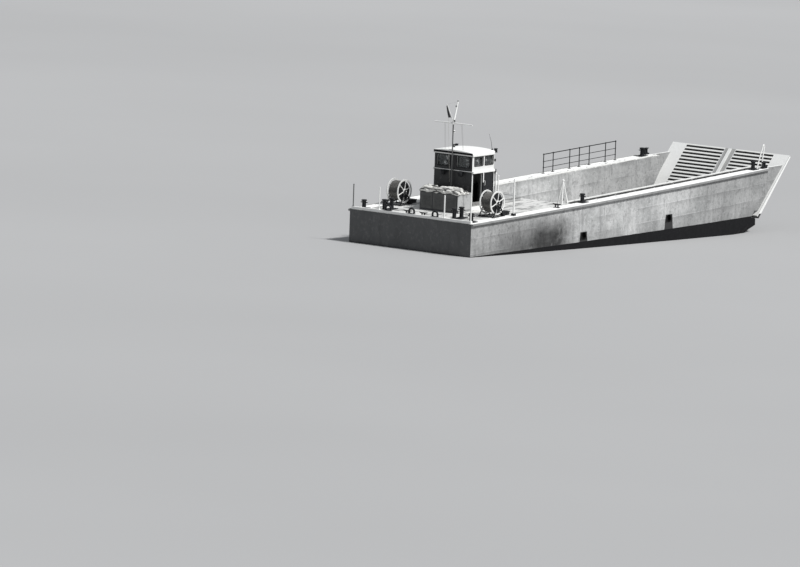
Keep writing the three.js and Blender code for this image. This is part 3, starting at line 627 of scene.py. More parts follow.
def canvas_cloth():
    """Weathered canvas, with shade painted into its folds."""
    g = Graph("awning_canvas", 0.85, Sheen_Weight=0.25)
    x, y, z = g.axes()
    # painted shade: near black on the low parts of the folds, away from the after skirt and the sides
    low = g.between(z, TRUNK.top + 0.155, TRUNK.top + 0.085) * g.between(x, 1.845, 1.875)
    body = g.coats(
        worn(g, (0.82, 0.81, 0.77), 0.3, 14, 0.1),
        (g.spots(0.52, 0.7, 0.5, 4.5, detail=7), (0.2, 0.195, 0.18)),
        (low * g.between(abs(y), 0.94, 0.91) * 0.93, 0.02),
        # painted shade: thin dark streaks stretched along the creases
        (g.spots(0.5, 0.56, 0.9, 1, (7, 2.4, 30), 2), 0.02),
    )
    normal = g.bump(g.noise(34, detail=4), 0.4, 0.006)
    return g.finish(body, (8, 0.75, 0.95), weave(g, 0.0024, 0.0006, normal))


def flag_cloth():
    g = Graph("ensign_bunting", 0.8, Sheen_Weight=0.3)
    body = g.mix(g.spots(0.35, 0.7, 1, 6, detail=5), (0.012, 0.012, 0.014), (0.03, 0.03, 0.034))
    return g.finish(body, (9, 0.7, 0.9), weave(g, 0.0015, 0.0003))


def rope_fibre(name, color):
    """Laid rope: slanting strands with painted shade in the grooves between them, and loose fibre."""
    g = Graph(name, 0.9)
    x, y, z = g.axes()
    strands = abs(g.math("SINE", (x + z + y * 1.6) * (pi / 0.022)))
    # painted shade: the grooves between strands are darkened to a quarter of the rope's colour
    gaps = g.between(strands, 0, 0.45, 0.75, 0)
    body = g.mix(gaps, worn(g, color, 0.4, 20, 0.1), tuple(c * 0.25 for c in color))
    return g.finish(body, 0.92, g.bump(g.noise(220, detail=3), 0.4, 0.001, g.bump(strands, 0.8, 0.006)))


MATERIALS = {
    "hull_grey": hull_paint(),
    "house_white": plain_paint("white_paint", (0.86, 0.86, 0.84), 0.2, 0.3),
    "dark_grey": plain_paint("dark_paint", (0.022, 0.023, 0.025), 0.3, 0.3),
    "deck_grey": deck_paint(),
    "steel": bare_steel(),
    "bronze": bronze(),
    "glass": clear_glass(),
    "canvas": canvas_cloth(),
    "flag_cloth": flag_cloth(),
    "hull_plain": plain_paint("grey_paint", (0.4, 0.405, 0.4), 0.3, 0.35),
    "reel_paint": plain_paint("reel_paint", (0.8, 0.8, 0.78), 0.3, 0.3, 0.5),
    "trunk_grey": plain_paint("trunk_door_paint", (0.1, 0.102, 0.1), 0.35, 0.6),
    "black": plain_paint("black_paint", (0.01, 0.01, 0.011), 0.3, 0.2),
    "mast_grey": plain_paint("mast_paint", (0.12, 0.122, 0.12), 0.3, 0.3),
    "rubber": plain_paint("gasket_rubber", (0.03, 0.03, 0.031), 0.3, 0.1, 0.75),
    "rope": rope_fibre("manila_rope", (0.52, 0.5, 0.44)),
    "wet_rope": rope_fibre("tarred_rope", (0.15, 0.147, 0.138)),
    "lens": lamp_lens(),
}
BY_NODE = {
    "wheelhouse_walls": house_walls(),
    "engine_trunk": trunk_paint(),
    "bow_ramp": ramp_paint(),
    "rub_rail_starboard": rail_paint(),
    "rub_rail_port": rail_paint(),
}


def dress_frame():
    slots = {row["node"]: row["material_slot"] for row in frame["record"]["subparts"]}
    for name, node in frame["nodes"].items():
        for slot in node.material_slots:
            slot.material = BY_NODE.get(name) or MATERIALS[slots[name]]


def make_camera():
    data = bpy.data.cameras.new("camera")
    data.lens = CAMERA.lens
    data.clip_end = 2000
    camera = add_object("camera", data)
    yaw, pitch, roll = CAMERA.yaw, CAMERA.pitch, CAMERA.roll
    ahead = Vector((cos(pitch) * cos(yaw), cos(pitch) * sin(yaw), -sin(pitch)))
    right = ahead.cross(Vector((0, 0, 1))).normalized()
    up = right.cross(ahead)
    turned = right * cos(roll) + up * sin(roll)
    above = up * cos(roll) - right * sin(roll)
    turn = Matrix((turned, above, -ahead)).transposed().to_4x4()
    camera.matrix_world = Matrix.Translation(CAMERA.at) @ turn
    SCENE.camera = camera


def make_floor():
    half = 1500
    corners = [(-half, -half), (half, -half), (half, half), (-half, half)]
    level = [(x, y, WATER_AFT + (x + MID) * WATER_SLOPE) for x, y in corners]
    mesh = bpy.data.meshes.new("floor")
    mesh.from_pydata(level, [], [(0, 1, 2, 3)])
    g = Graph("floor", 0.85)
    mesh.materials.append(g.finish(g.mix(g.spots(0.3, 0.7, 1, 0.02), 0.35, 0.38)))
    add_object("floor", mesh)


def make_lights():
    sun = bpy.data.lights.new("key", "SUN")
    sun.energy = 4.2
    sun.angle = radians(9)
    key = add_object("key", sun)
    key.rotation_mode = "QUATERNION"
    key.rotation_quaternion = Vector((0.14, -0.6, 0.79)).to_track_quat("Z", "Y")
    world = bpy.data.worlds.new("world")
    world.use_nodes = True
    background = world.node_tree.nodes["Background"].inputs
    background["Color"].default_value = (0.9, 0.94, 1, 1)
    background["Strength"].default_value = 0.36
    SCENE.world = world
    SCENE.view_settings.view_transform = "Standard"


def house_roof():
    """Cambered roof with a rolled edge, boxes for its side lights and an aerial."""
    half, z, edge, crown = HOUSE.half + 0.042, HOUSE.top, 0.095, 0.06
    fore, aft = HOUSE.fore + 0.042, HOUSE.aft - 0.042

    def section(x, inset):
        w = half - inset
        steps = [w - 0.03 - (2 * w - 0.06) * k / 20 for k in range(21)]
        top = [(y, edge - inset + crown * (1 - (y / half) ** 2)) for y in steps]
        rim = [(w - 0.012, inset), (w, inset + 0.012), (w, edge - 0.03), (w - 0.009, edge - 0.012)]
        left = [(-y, h) for y, h in reversed(rim)]
        return [(x, y, h) for y, h in rim + top + left]

    s = Shape(0, 0, z)
    roll = 0.018
    s.loops([section(aft, roll), section(aft + roll, 0), section(fore - roll, 0), section(fore, roll)])
    s.build("roof_shell", "house_white", node="wheelhouse_roof")
    s = Shape(aft, 0, z)
    s.box((-0.005, 0.015 - half, 0.004), (0.02, half - 0.015, 0.082), 0.003)
    s.build("roof_fascia", "black", sharp=30)
    boxes, lenses, sides = Shape(fore, 0, z), Shape(fore, 0, z), Shape(0, 0, z)
    for _, sign in SIDES:
        for start, end, low, high, wider, bevel in [
            (-0.058, 0.03, 0.017, 0.178, 0, 0.01),
            (-0.062, 0.058, 0.165, 0.18, 0.004, 0.004),
            (-0.058, 0.055, 0.017, 0.035, 0, 0.004),
        ]:
            near, far = sign * (half - 0.058 - wider), sign * (half + 0.048 + wider)
            boxes.box((start, near, low), (end, far, high), bevel)
        lens = [(0.026, 0), (0.03, 0.01), (0.03, 0.1), (0.02, 0.115), (0.01, 0.12)]
        lenses.lathe(lens, (0.032, sign * (half - 0.005), 0.04), sides=20)
        start, end = aft + 0.02, fore - 0.065
        sides.box((start, sign * (half - 0.01), -0.05), (end, sign * (half + 0.004), 0.07), 0.005)
        sides.box((start, sign * (HOUSE.half + 0.002), -0.05), (end, sign * (half - 0.008), -0.036), 0.003)
    boxes.build("side_light_boxes", "dark_grey", node="wheelhouse_roof")
    lenses.build("side_light_lenses", "lens")
    sides.build("roof_sides", "house_white", sharp=35)
    s = Shape(4.17, -0.84, z)
    s.tube([(0, 0, 0.1), (0, 0.05, 0.4), (0, 0.17, 0.74)], [0.01, 0.007, 0.004], 8)
    s.lathe([(0.03, 0), (0.03, 0.05), (0.012, 0.07)], (0, 0, 0.1), sides=16)
    s.build("whip_aerial", "dark_grey")


def window_frames():
    """Raised frames with rounded corners round the wheelhouse's windows."""
    z = deck(HOUSE.aft)
    low, high = z + WINDOWS.low, z + WINDOWS.high
    s = Shape()

    def frame_at(u0, u1, v0, v1, to_place, width=0.028, out=0.014, back=-0.004):
        outer = rounded((u0 - width, v0 - width), (u1 + width, v1 + width), 0.05)
        inner = rounded((u0 + 0.006, v0 + 0.006), (u1 - 0.006, v1 - 0.006), 0.035)
        rings = [(outer, back), (outer, out), (inner, out), (inner, back)]
        s.loops([[to_place(u, v, o) for u, v in ring] for ring, o in rings], closed=True)

    for _, sign in SIDES:
        for x0, x1 in WINDOWS.side:
            frame_at(x0, x1, low, high, lambda u, v, o, q=sign: (u, q * (HOUSE.half + o), v))
    for y0, y1 in WINDOWS.aft:
        frame_at(y0, y1, low - 0.09, high + 0.02, lambda u, v, o: (HOUSE.aft - o, u, v))
    for y in FRONT_WINDOWS:
        frame_at(y - 0.25, y + 0.25, z + 1.4, high, lambda u, v, o: (HOUSE.fore + o, u, v))
    s.build("window_frames", "rubber", sharp=50)


def house_trim():
    aft, fore, half, top = HOUSE.aft, HOUSE.fore, HOUSE.half, HOUSE.top
    s = Shape()
    s.box((aft - 0.03, -half, top - 0.046), (aft + 0.002, half, top - 0.004), 0.006)
    s.box((aft - 0.022, -half, 4.365), (aft + 0.002, half, 4.39), 0.006)
    for _, sign in SIDES:
        near, far = sign * half, sign * (half + 0.012)
        s.box((aft - 0.008, near, HOUSE.foot), (aft + 0.035, far, HOUSE.belt))
        s.box((fore - 0.035, near, HOUSE.foot), (fore + 0.008, far, HOUSE.belt))
        s.box((aft - 0.01, near, 2.83), (fore + 0.01, far, 3.05), 0.006)
    s.build("house_trim", "house_white", sharp=35)
    s = Shape()
    for y in (-0.84, -0.5, 0.84):
        s.at(fore, y, 0).tube([(0.005, 0, 3.8), (0.06, 0, 3.81), (0.06, 0, 4.2), (0.005, 0, 4.21)], 0.011)
    s.build("grab_rails", "house_white")
    s = Shape(fore, 0, 0)
    s.box((0.002, 0.42, 3.3), (0.16, 0.86, 3.75), 0.012)
    for y in (0.5, 0.78):
        s.box((0.158, y - 0.02, 3.66), (0.168, y + 0.02, 3.74), 0.003)
    s.at(fore, -half, 0)
    for z, reach, tall in ((4.2, 0.13, 0.19), (4.69, 0.08, 0.11)):
        s.box((0.02, -0.03, z), (reach, 0.09, z + tall), 0.015)
        s.box((0.001, 0.01, z + 0.03), (0.03, 0.06, z + 0.07))
    s.tube([(0.1, 0.03, 4.21), (0.11, 0.03, 3.6), (0.03, 0.04, 3.2)], 0.009, 8)
    s.build("front_fittings", "dark_grey", sharp=35)
    s = Shape()
    for y in FRONT_WINDOWS:
        s.at(fore, y, 0).tube([(0.02, 0, 4.93), (0.045, 0.01, 4.9), (0.04, 0.09, 4.62)], 0.006, 8)
        s.lathe([(0.022, 0), (0.022, 0.03), (0.012, 0.038)], (0, 0, 4.945), AHEAD, 16)
    s.build("wipers", "rubber")
    s = Shape()
    for y in (-0.42, 0.42):
        hood = [(0.05, 0), (0.09, 0.02), (0.1, 0.12), (0.085, 0.15), (0.03, 0.155)]
        s.at(aft, y, 4.2).lathe(hood, (-0.09, 0, 0), (-0.3, 0, 1), 20)
        s.box((-0.1, -0.02, -0.04), (0.002, 0.02, 0))
    s.build("work_lamps", "dark_grey")


def door_fittings():
    """Ribs on each sliding door, and its white edge with the handle."""
    floor = deck(HOUSE.aft)
    x0, x1, z0, z1, face = DOOR.aft, DOOR.fore, floor + DOOR.low, floor + DOOR.high, DOOR.face
    ribs = [
        (x0, x1, z0 + 0.02, z0 + 0.07),
        (x0, x1, z1 - 0.06, z1 - 0.015),
        (x0, x0 + 0.04, z0 + 0.05, z1 - 0.04),
        (x1 - 0.04, x1, z0 + 0.05, z1 - 0.04),
        (x0 + 0.02, x1 - 0.02, z0 + 0.6, z0 + 0.64),
    ]
    for side, sign in SIDES:
        near, out = sign * (face - 0.002), sign * (face + 0.055)
        s = Shape()
        for start, end, low, high in ribs:
            s.box((start, near, low), (end, sign * (face + 0.01), high), 0.003)
        s.build(f"door_ribs_{side}", "dark_grey", f"door_{side}", sharp=35)
        s = Shape(x0, 0, 0)
        s.box((-0.005, near, z1 - 0.42), (0.045, sign * (face + 0.013), z1 - 0.01))
        grip = [(sign * face, 0.68), (out, 0.69), (out, 0.85), (sign * face, 0.86)]
        s.tube([(0.07, y, z0 + z) for y, z in grip], 0.009)
        s.build(f"door_handle_{side}", "house_white", f"door_{side}")


def helm():
    z = deck(HOUSE.aft) + 0.001
    s = Shape(3.86, 0, z)
    s.box((0, -0.24, 0), (0.24, 0.24, 0.8), 0.02)
    top = [(0, 0.8), (0.24, 0.8), (0.24, 0.957), (0.16, 0.957), (0.01, 0.86)]
    s.loops([[(a, y, b) for a, b in top] for y in (-0.238, 0.238)], bevel=0.008)
    s.build("helm_pedestal", "dark_grey", node="helm_console", sharp=35)
    s = Shape(3.79, 0, z + 0.88)
    s.tube([(0, *on_circle(0.24, t)) for t in turns(40)], 0.016, 12, True)
    for t in turns(6):
        s.tube([(0, *on_circle(0.02, t)), (0, *on_circle(0.235, t))], 0.009, 8)
    s.lathe([(0.02, -0.075), (0.045, -0.06), (0.045, 0.02), (0.02, 0.03)], (0.05, 0, 0), AHEAD, 20)
    s.build("helm_wheel", "steel", node="helm_console")
    s = Shape()
    for y in (-0.14, 0, 0.14):
        s.at(3.93, y, z + 0.892).lathe([(0.045, 0), (0.045, 0.012), (0.038, 0.018)], axis=(-0.42, 0, 1))
    for y in (-0.19, 0.19):
        s.at(3.95, y, z).tube([(0.01, 0, 0.92), (0, 0, 1.03)], 0.007, 8)
        s.lathe([(0.01, 0), (0.018, 0.01), (0.018, 0.02), (0.008, 0.03)], (0, 0, 1.02), sides=14)
    s.build("helm_gauges", "steel")


def mast_x(z):
    return MAST.x + MAST.rake * max(0, z - MAST.knee) / (MAST.top - MAST.knee)


def mast():
    top, yard, half, foot = MAST.top, MAST.yard, MAST.half, TRUNK.top
    peak, yard_x = (MAST.peak_x, 0, MAST.peak_z), mast_x(yard)
    s = Shape(MAST.x, 0, 0)
    s.tube([(0, 0, z) for z in (foot + 0.03, 4.4, 5, 5.8, 6.21)], [0.03, 0.026, 0.024, 0.024, 0.026], 20)
    s.lathe([(0.06, 0), (0.055, 0.03), (0.036, 0.06)], (0, 0, foot + 0.028), sides=20)
    s.box((-0.045, -0.08, foot + 0.001), (0.08, 0.08, foot + 0.03), 0.005)
    for z in (4.39, 4.96):
        s.box((0, -0.02, z), (HOUSE.aft - MAST.x - 0.001, 0.02, z + 0.04))
        s.lathe([(0.042, 0), (0.042, 0.04)], (0, 0, z), sides=20)
    s.build("mast_post", "mast_grey", node="mast")
    s = Shape()
    s.tube([(mast_x(z), 0, z) for z in (6.2, 6.5, 6.8, top)], [0.036, 0.034, 0.03, 0.022], 20)
    s.tube([(yard_x, y, yard) for y in (-half, -0.3, 0.3, half)], [0.02, 0.026, 0.026, 0.02], 16)
    s.tube([(yard_x, 0, yard + 0.03), peak], [0.017, 0.012])
    s.lathe([(0.037, 0), (0.037, 0.09)], (yard_x, 0, yard - 0.045), sides=20)
    s.build("mast_spars", "house_white", node="mast")
    pale, cages, lenses = Shape(), Shape(), Shape()
    rows = [  # foot, radius, height, distance forward of the mast, shape that takes the cage
        (5.29, 0.06, 0.12, 0.085, cages),
        (5.86, 0.046, 0.1, 0.072, pale),
        (yard + 0.03, 0.054, 0.1, 0, cages),
    ]
    for z, radius, height, out, cage in rows:
        for shape in (cage, lenses):
            shape.at(mast_x(z + height / 2) + out, 0, z)
        cage.lathe([(radius * 0.8, 0), (radius, 0.008), (radius, 0.02), (radius * 0.85, 0.022)])
        cage.lathe([(radius * 0.85, height - 0.02), (radius, height - 0.018), (radius * 0.8, height)])
        for t in turns(4, pi / 4):
            x, y = on_circle(radius * 0.93, t)
            cage.tube([(x, y, 0.01), (x, y, height - 0.01)], 0.004, 8)
        if out:
            cage.box((-out, -0.012, 0.004), (0, 0.012, 0.018), 0.003)
        barrel = [(radius * 0.72, 0.018), (radius * 0.78, height / 2), (radius * 0.72, height - 0.016)]
        lenses.lathe(barrel)
    pale.build("mast_lamp_white", "house_white", node="mast")
    truck = [(0.012, 0), (0.03, 0.006), (0.03, 0.035), (0.012, 0.042)]
    cages.at(mast_x(top) - 0.012, 0, top - 0.055).lathe(truck, sides=20)
    cages.at(mast_x(6.9), 0, 6.9).box((-0.09, -0.02, 0), (0, 0.02, 0.035), 0.006)
    cages.build("mast_lamp_cages", "dark_grey", node="mast")
    lenses.build("mast_lamp_lenses", "lens")
    s = Shape()
    for _, sign in SIDES:
        for high, low in ((0.43, 0.46), (0.39, 0.42)):
            foot_of_stay = (HOUSE.aft + 0.02, sign * low, HOUSE.top + 0.13)
            s.tube([(yard_x, sign * high, yard - 0.02), foot_of_stay], 0.0035, 6)
    s.tube([peak, (mast_x(top - 0.06), 0, top - 0.06)], 0.0035, 6)
    s.build("mast_stays", "steel")
    s = Shape(MAST.peak_x, 0, 0)
    s.tube([(-0.012, 0, MAST.peak_z - 0.005), (-0.012, 0, FLAG.top + 0.004)], 0.007, 8)
    s.tube([(0.11, 0, FLAG.low - 0.002), (MAST.x - MAST.peak_x - 0.06, 0.05, foot + 0.35)], 0.0035, 6)
    s.build("flag_halyard", "rope", node="mast")


def cloth(name, finish, node, thickness, rows, columns, place, laid=False):
    """Sheet of small squares whose points come from place(share of the rows, share of the columns)."""
    bm = bmesh.new()
    across = [c / columns for c in range(columns + 1)]
    grid = [[bm.verts.new(place(r / rows, u)) for u in across] for r in range(rows + 1)]
    for a, b in zip(grid, grid[1:]):
        for i in range(columns):
            square = (a[i], b[i], b[i + 1], a[i + 1]) if laid else (a[i], a[i + 1], b[i + 1], b[i])
            bm.faces.new(square).smooth = True
    area = sum(f.calc_area() for f in bm.faces)
    piece = add_piece(bm, name, finish, node=node)
    solidify = piece.modifiers.new("thickness", "SOLIDIFY")
    solidify.thickness = thickness
    solidify.offset = 1
    return piece, area


def flag():
    """Limp plain flag, bunched under the gaff's peak and wider at its foot."""
    peak, top, low = MAST.peak_x, FLAG.top, FLAG.low

    def place(v, u):
        near, far = peak - 0.042 + 0.168 * v, peak - 0.006 + 0.298 * v
        fold = sin(u * pi * 5.5 + 1.4 * v + 0.5 * sin(3 * v))
        swell = (0.3 + 0.7 * v) * (0.65 + 0.35 * sin(2.1 * u + 4 * v))
        drop = 0.03 * sin(7 * u) * v * v
        z = max(top - (top - low) * v + drop * (v < 1) - 0.02 * u * v, low)
        return near + (far - near) * u - MID, 0.033 * fold * swell, z

    piece, area = cloth("ensign", "flag_cloth", "flag", 0.0015, 44, 70, place)
    length = top - low
    round(area / length, 3)


def canvas_cover():
    """Awning folded down on the trunk: long creases athwartships and a skirt over the edges."""
    aft, fore, half, hem, turned = CANVAS.aft, CANVAS.fore, CANVAS.half, CANVAS.skirt, CANVAS.end
    base = TRUNK.top + 0.008

    def cut(value, low=0, high=1):
        return min(max(value, low), high)

    def place(v, u):
        side = max(0, hem - v, v - 1 + hem) / hem
        end = max(0, turned - u) / turned
        y = half * (2 * cut((v - hem) / (1 - 2 * hem)) - 1)
        x = aft + (fore - aft) * max((u - turned) / (1 - turned), 0)
        hump = 0.3 + 0.7 * sin(pi * cut((u - 0.07) / 0.93)) ** 0.6
        hump *= min(1, 0.5 + (1 - abs(y) / half) * 6)
        bend = 0.3 * noise.noise(Vector((x * 2.5, y * 2.5, 0.3)))
        slant = x * 6.5 + y * 0.9 + 2 * bend
        folds = min(1, abs(noise.noise(Vector((slant, y * 1.9 - bend, 0.5)))) * 2.6)
        creases = abs(noise.noise(Vector((slant * 2, y * 4 + bend, 3.5))))
        scallop = 0.045 + 0.05 * noise.noise(Vector((x * 4, y * 5, 6)))
        z = cut(base + hump * (0.02 + 0.17 * folds**0.8 + 0.06 * creases), base, base + CANVAS.most)
        skirt = max(side, end)
        if skirt > 0.02:
            z += (base - scallop - z) * skirt
        sway = abs(0.008 * noise.noise(Vector((x * 9, y * 9, z * 9))))
        y_out = copysign(0.006 + sway, y) if side else 0
        x_out = 0.004 + sway if end else 0
        return x - x_out - MID, y + y_out, z

    piece, area = cloth("awning", "canvas", "canvas_cover", 0.003, 220, 120, place, laid=True)
    round(area / (2 * half), 3)


def reel(side, sign):
    """Mooring reel: two spoked wheels, a core with rope wound on it, the stand and a box."""
    x, radius, lift, pack = REEL.x, REEL.radius, REEL.lift, REEL.pack
    base, middle, face = deck(x), sign * REEL.y, REEL.width / 2
    z, inner, reach = base + lift, face - 0.035, face + REEL.leg
    turning = {"body": f"reel_{side}", "node": f"rope_reel_{side}"}
    standing = {"node": f"reel_stand_{side}"}
    s = Shape()
    for y in (0.015 - face, face - 0.015):
        s.at(x, middle + y, z)
        rim = [(radius - 0.062, -0.012), (radius - 0.006, -0.02), (radius, -0.012)]
        s.lathe(rim + [(r, -h) for r, h in reversed(rim)], axis=ACROSS, sides=64, closed=True)
        for t in turns(6, 0.35):
            s.tube([on_wheel(0.05, t), on_wheel(radius - 0.03, t)], 0.021, 10)
        s.lathe([(0.09, -0.024), (0.1, -0.018), (0.1, 0.018), (0.09, 0.024)], axis=ACROSS, sides=32)
    end = reach + 0.028
    axle = [(0.024, -end), (0.03, 0.006 - end), (0.03, end - 0.006), (0.024, end)]
    s.at(x, middle, z).lathe(axle, axis=ACROSS)
    s.build(f"reel_wheels_{side}", "reel_paint", **turning)
    s = Shape(x, middle, z)
    core = [(0.06, -inner), (pack - 0.035, -inner), (pack - 0.035, inner), (0.06, inner)]
    s.lathe(core, axis=ACROSS, sides=48)
    for y in (0.02 - face, face - 0.02):
        for r in (0.1, 0.18, 0.26):
            ring = [(r, -0.004), (r + 0.02, -0.004), (r + 0.02, 0.004), (r, 0.004)]
            s.lathe(ring, (0, y, 0), ACROSS, 48, closed=True)
    s.build(f"reel_core_{side}", "dark_grey", **turning)
    s = Shape(x, middle, z)
    wraps, strands, steps = 1.3, 5, 96
    for way in (-1, 1):
        for k in range(strands):
            path = []
            for u in [i / steps for i in range(steps + 1)]:
                lay = sin(2 * strands * tau * wraps * u + (0 if way > 0 else pi))
                t = tau * (k / strands + way * wraps * u)
                path.append(on_wheel(pack - 0.026 + 0.008 * lay, t, (2 * inner - 0.04) * u - inner + 0.02))
            s.tube(path, 0.02, 8)
    s.build(f"reel_rope_{side}", "wet_rope", **turning)
    s = Shape()
    for y in (-reach, reach):
        s.at(x, middle + y, base)
        for way in (-1, 1):
            s.tube([(way * 0.33, 0, 0.03), (way * 0.02, 0, lift + 0.01)], 0.024)
            s.box((way * 0.33 - 0.06, -0.038, 0.002), (way * 0.33 + 0.06, 0.038, 0.038), 0.006)
        s.pad(0.39, 0.03, 0.004, 0.028)
        bearing = [(0.032, -0.028), (0.058, -0.028), (0.06, 0), (0.058, 0.028), (0.032, 0.028)]
        s.lathe(bearing, (0, 0, lift), ACROSS, 28, closed=True)
        s.tube([(-0.2, 0, 0.24), (0.2, 0, 0.24)], 0.014, 10)
    for way in (-1, 1):
        s.at(x + way * 0.36, middle, base).pad(0.03, reach, 0.004, 0.036, 0.005)
    s.build(f"reel_frame_{side}", "dark_grey", **standing)
    s = Shape(x, middle, base)
    s.box((0.39, -0.26, 0.004), (0.84, 0.26, 0.13), 0.01)
    s.box((0.37, -0.275, 0.13), (0.855, 0.275, 0.168), 0.01)
    for y in (-0.12, 0.12):
        s.box((0.84, y - 0.02, 0.07), (0.856, y + 0.02, 0.14), 0.003)
    s.build(f"reel_box_{side}", "dark_grey", **standing)


def bollards():
    """Mooring posts with rolled caps, each set on a base that follows the deck."""
    rows = [  # name, middle forward, y, spacing, height
        ("bow_bollards", 19.83, 2.8, 0, 0.36),
        ("side_bollards", 7.73, 2.79, 0, 0.36),
        ("stern_bitts", 0.82, 1.72, 0.48, 0.45),
        ("stern_bollard", 0.46, 2.64, 0, 0.36),
    ]
    for side, sign in SIDES:
        for name, x, y, spacing, tall in rows:
            s = Shape()
            post = [(0.094, 0.02), (0.084, 0.05), (0.08, 0.1), (0.078, tall - 0.09), (0.086, tall - 0.065)]
            post += [(0.104, tall - 0.052), (0.112, tall - 0.042), (0.112, tall - 0.018)]
            post += [(0.104, tall - 0.006), (0.08, tall)]
            for middle in sorted({x - spacing / 2, x + spacing / 2}):
                s.at(middle, sign * y, deck(middle)).lathe(post, sides=36)
                s.tube([(0, -0.16, tall - 0.115), (0, 0.16, tall - 0.115)], 0.02, 14)
            reach = spacing / 2 + 0.21
            plan = [(x + a * reach, sign * y + b * 0.178) for a, b in ((-1, -1), (1, -1), (1, 1), (-1, 1))]
            base = [[(a, b, deck(a) + h) for a, b in plan] for h in (0.001, 0.03)]
            s.at(0, 0, 0).loops(base, bevel=0.006)
            s.build(f"{name}_posts_{side}", "dark_grey", node=f"{name}_{side}")


def bow_fairleads():
    for side, sign in SIDES:
        s = Shape(20.36, sign * 2.98, deck(20.36))
        s.pad(0.128, 0.093, 0.002, 0.068, 0.012)
        s.pad(0.128, 0.073, 0.25, 0.28, 0.01)
        roller = [(0.05, 0.06), (0.052, 0.07), (0.04, 0.11), (0.038, 0.2), (0.05, 0.24), (0.052, 0.255)]
        for x in (-0.065, 0.065):
            s.lathe(roller, (x, 0, 0), sides=28)
            s.lathe([(0.022, 0.27), (0.022, 0.295), (0.012, 0.3)], (x, 0, -0.015), sides=6)
        s.build(f"roller_fairlead_{side}", "dark_grey", node=f"bow_fairlead_{side}")


def small_posts():
    """The frame on the bow, and the post, tripod and vent pipes on deck."""
    z = deck(20.3)
    s = Shape(0, -2.8, z)
    bend = [(20.5 + 0.055 * (1 - cos(t)), 0.89 + 0.06 * sin(t)) for t in half_turn(10)]
    path = [(20.13, 0.01), (20.3, 0.45), (20.49, 0.85), *bend, (20.6, 0.85), (20.52, 0.45), (20.45, 0.01)]
    s.tube([(px, 0, pz) for px, pz in path], 0.026, 16)
    for x in (20.13, 20.45):
        s.at(x, -2.8, z).pad(0.043, 0.043, 0.002, 0.022)
    s.build("bow_frame_legs", "house_white", node="bow_frame")
    post = (2.98, -2.85, deck(2.98))
    s = Shape(*post)
    s.pad(0.073, 0.073, 0.002, 0.088, 0.008)
    s.build("deck_post_foot", "dark_grey", node="deck_post")
    s = Shape(*post)
    s.tube([(0, 0, 0.08), (0, 0, 1.2), (0, 0, 1.462)], [0.035, 0.031, 0.03], 20)
    s.lathe([(0.038, 1.19), (0.04, 1.2), (0.04, 1.225), (0.038, 1.235)])
    s.build("deck_post_tube", "house_white", node="deck_post")
    s = Shape(6.78, -2.5, deck(6.78))
    for t in turns(3, pi / 2):
        s.tube([(*on_circle(0.23, t), 0.005), (0, 0, 0.96)], [0.025, 0.02], 14)
    s.lathe([(0.04, 0.93), (0.05, 0.94), (0.05, 0.98), (0.03, 0.998)])
    s.build("tripod_legs", "house_white", node="deck_tripod")
    s = Shape(4.3, -0.98, deck(4.3))
    s.box((-0.048, -0.058, 0.002), (0.208, 0.058, 0.058), 0.008)
    for x, tall in ((0, 1.4), (0.16, 1.28)):
        s.tube([(x, 0, 0.05), (x, 0, tall - 0.07)], 0.027, 20)
        cap = [(0.028, tall - 0.1), (0.034, tall - 0.09), (0.034, tall - 0.03), (0.02, tall - 0.004)]
        s.lathe(cap, (x, 0, 0))
        s.lathe([(0.034, 0.05), (0.034, 0.075), (0.028, 0.08)], (x, 0, 0))
    s.build("vent_pipe_pair", "house_white", node="vent_pipes")


def stern_rail():
    """Bar along the transom with its posts, of which one is dark, and rings to lead ropes."""
    x, z = 0.08, deck(0.02)
    s, dark, chocks = Shape(x, 0, z), Shape(), Shape()
    s.pad(0.06, 2.938, 0.001, 0.108, 0.015)
    for y in (-2.89, -1.6, 1.6, 2.89):
        post = dark if y > 2 else s
        post.at(x, y, z).tube([(0, 0, 0.1), (0, 0, 0.98)], 0.022 if y > 0 else 0.027, 16)
        post.lathe([(0.024, 0.97), (0.03, 0.98), (0.03, 0.992), (0.015, 0.999)], sides=20)
        post.lathe([(0.045, 0.1), (0.045, 0.125), (0.024, 0.135)], sides=20)
    ring = [(0.127 + 0.037 * cos(t), 0.044 * sin(t)) for t in turns(20)]
    for y in (-1.15, 0, 1.15):
        chocks.at(x, y, z).lathe(ring, (0, 0, 0.19), AHEAD, 48, closed=True)
        chocks.pad(0.045, 0.16, 0.1, 0.125, 0.008)
    s.build("stern_bar", "house_white", node="stern_fittings")
    dark.build("stern_post_dark", "mast_grey", node="stern_fittings", slot="dark_grey")
    chocks.build("stern_chocks", "dark_grey", node="stern_fittings")


def deck_cleats():
    """Horned cleats on the after deck."""
    s = Shape()
    for x, y in [(0.42, 0.45), (0.42, -0.32), (5.9, -2.85), (5.9, 2.85)]:
        s.at(x, y, deck(x)).pad(0.07, 0.13, 0.001, 0.022, 0.005)
        for leg in (-0.06, 0.06):
            s.tube([(0, leg, 0.015), (0, leg, 0.13)], 0.028, 16)
        horns = [(0, -0.2, 0.155), (0, -0.1, 0.132), (0, 0.1, 0.132), (0, 0.2, 0.155)]
        s.tube(horns, [0.014, 0.027, 0.027, 0.014], 16)
    s.build("deck_cleats", "dark_grey")


def guard_rail():
    xs, y, tall = GUARD.xs, GUARD.y, GUARD.height
    s = Shape()
    for share, radius in ((1, 0.019), (0.62, 0.013), (0.3, 0.013)):
        h, big = tall * share, radius + 0.014
        s.at(0, y, h).tube([(x, 0, deck(x)) for x in (xs[0], xs[-1])], radius, 14)
        for x in xs:
            ball = [(big * sin(t) + 0.001, -big * cos(t)) for t in half_turn(8)]
            s.at(x, y, deck(x) + h).lathe(ball, sides=16)
    for x in xs:
        s.at(x, y, deck(x)).tube([(0, 0, 0.015), (0, 0, tall + 0.008)], 0.019, 14)
        s.pad(0.058, 0.048, 0.002, 0.02)
    s.build("guard_rail_tubes", "dark_grey", node="guard_rail_port")


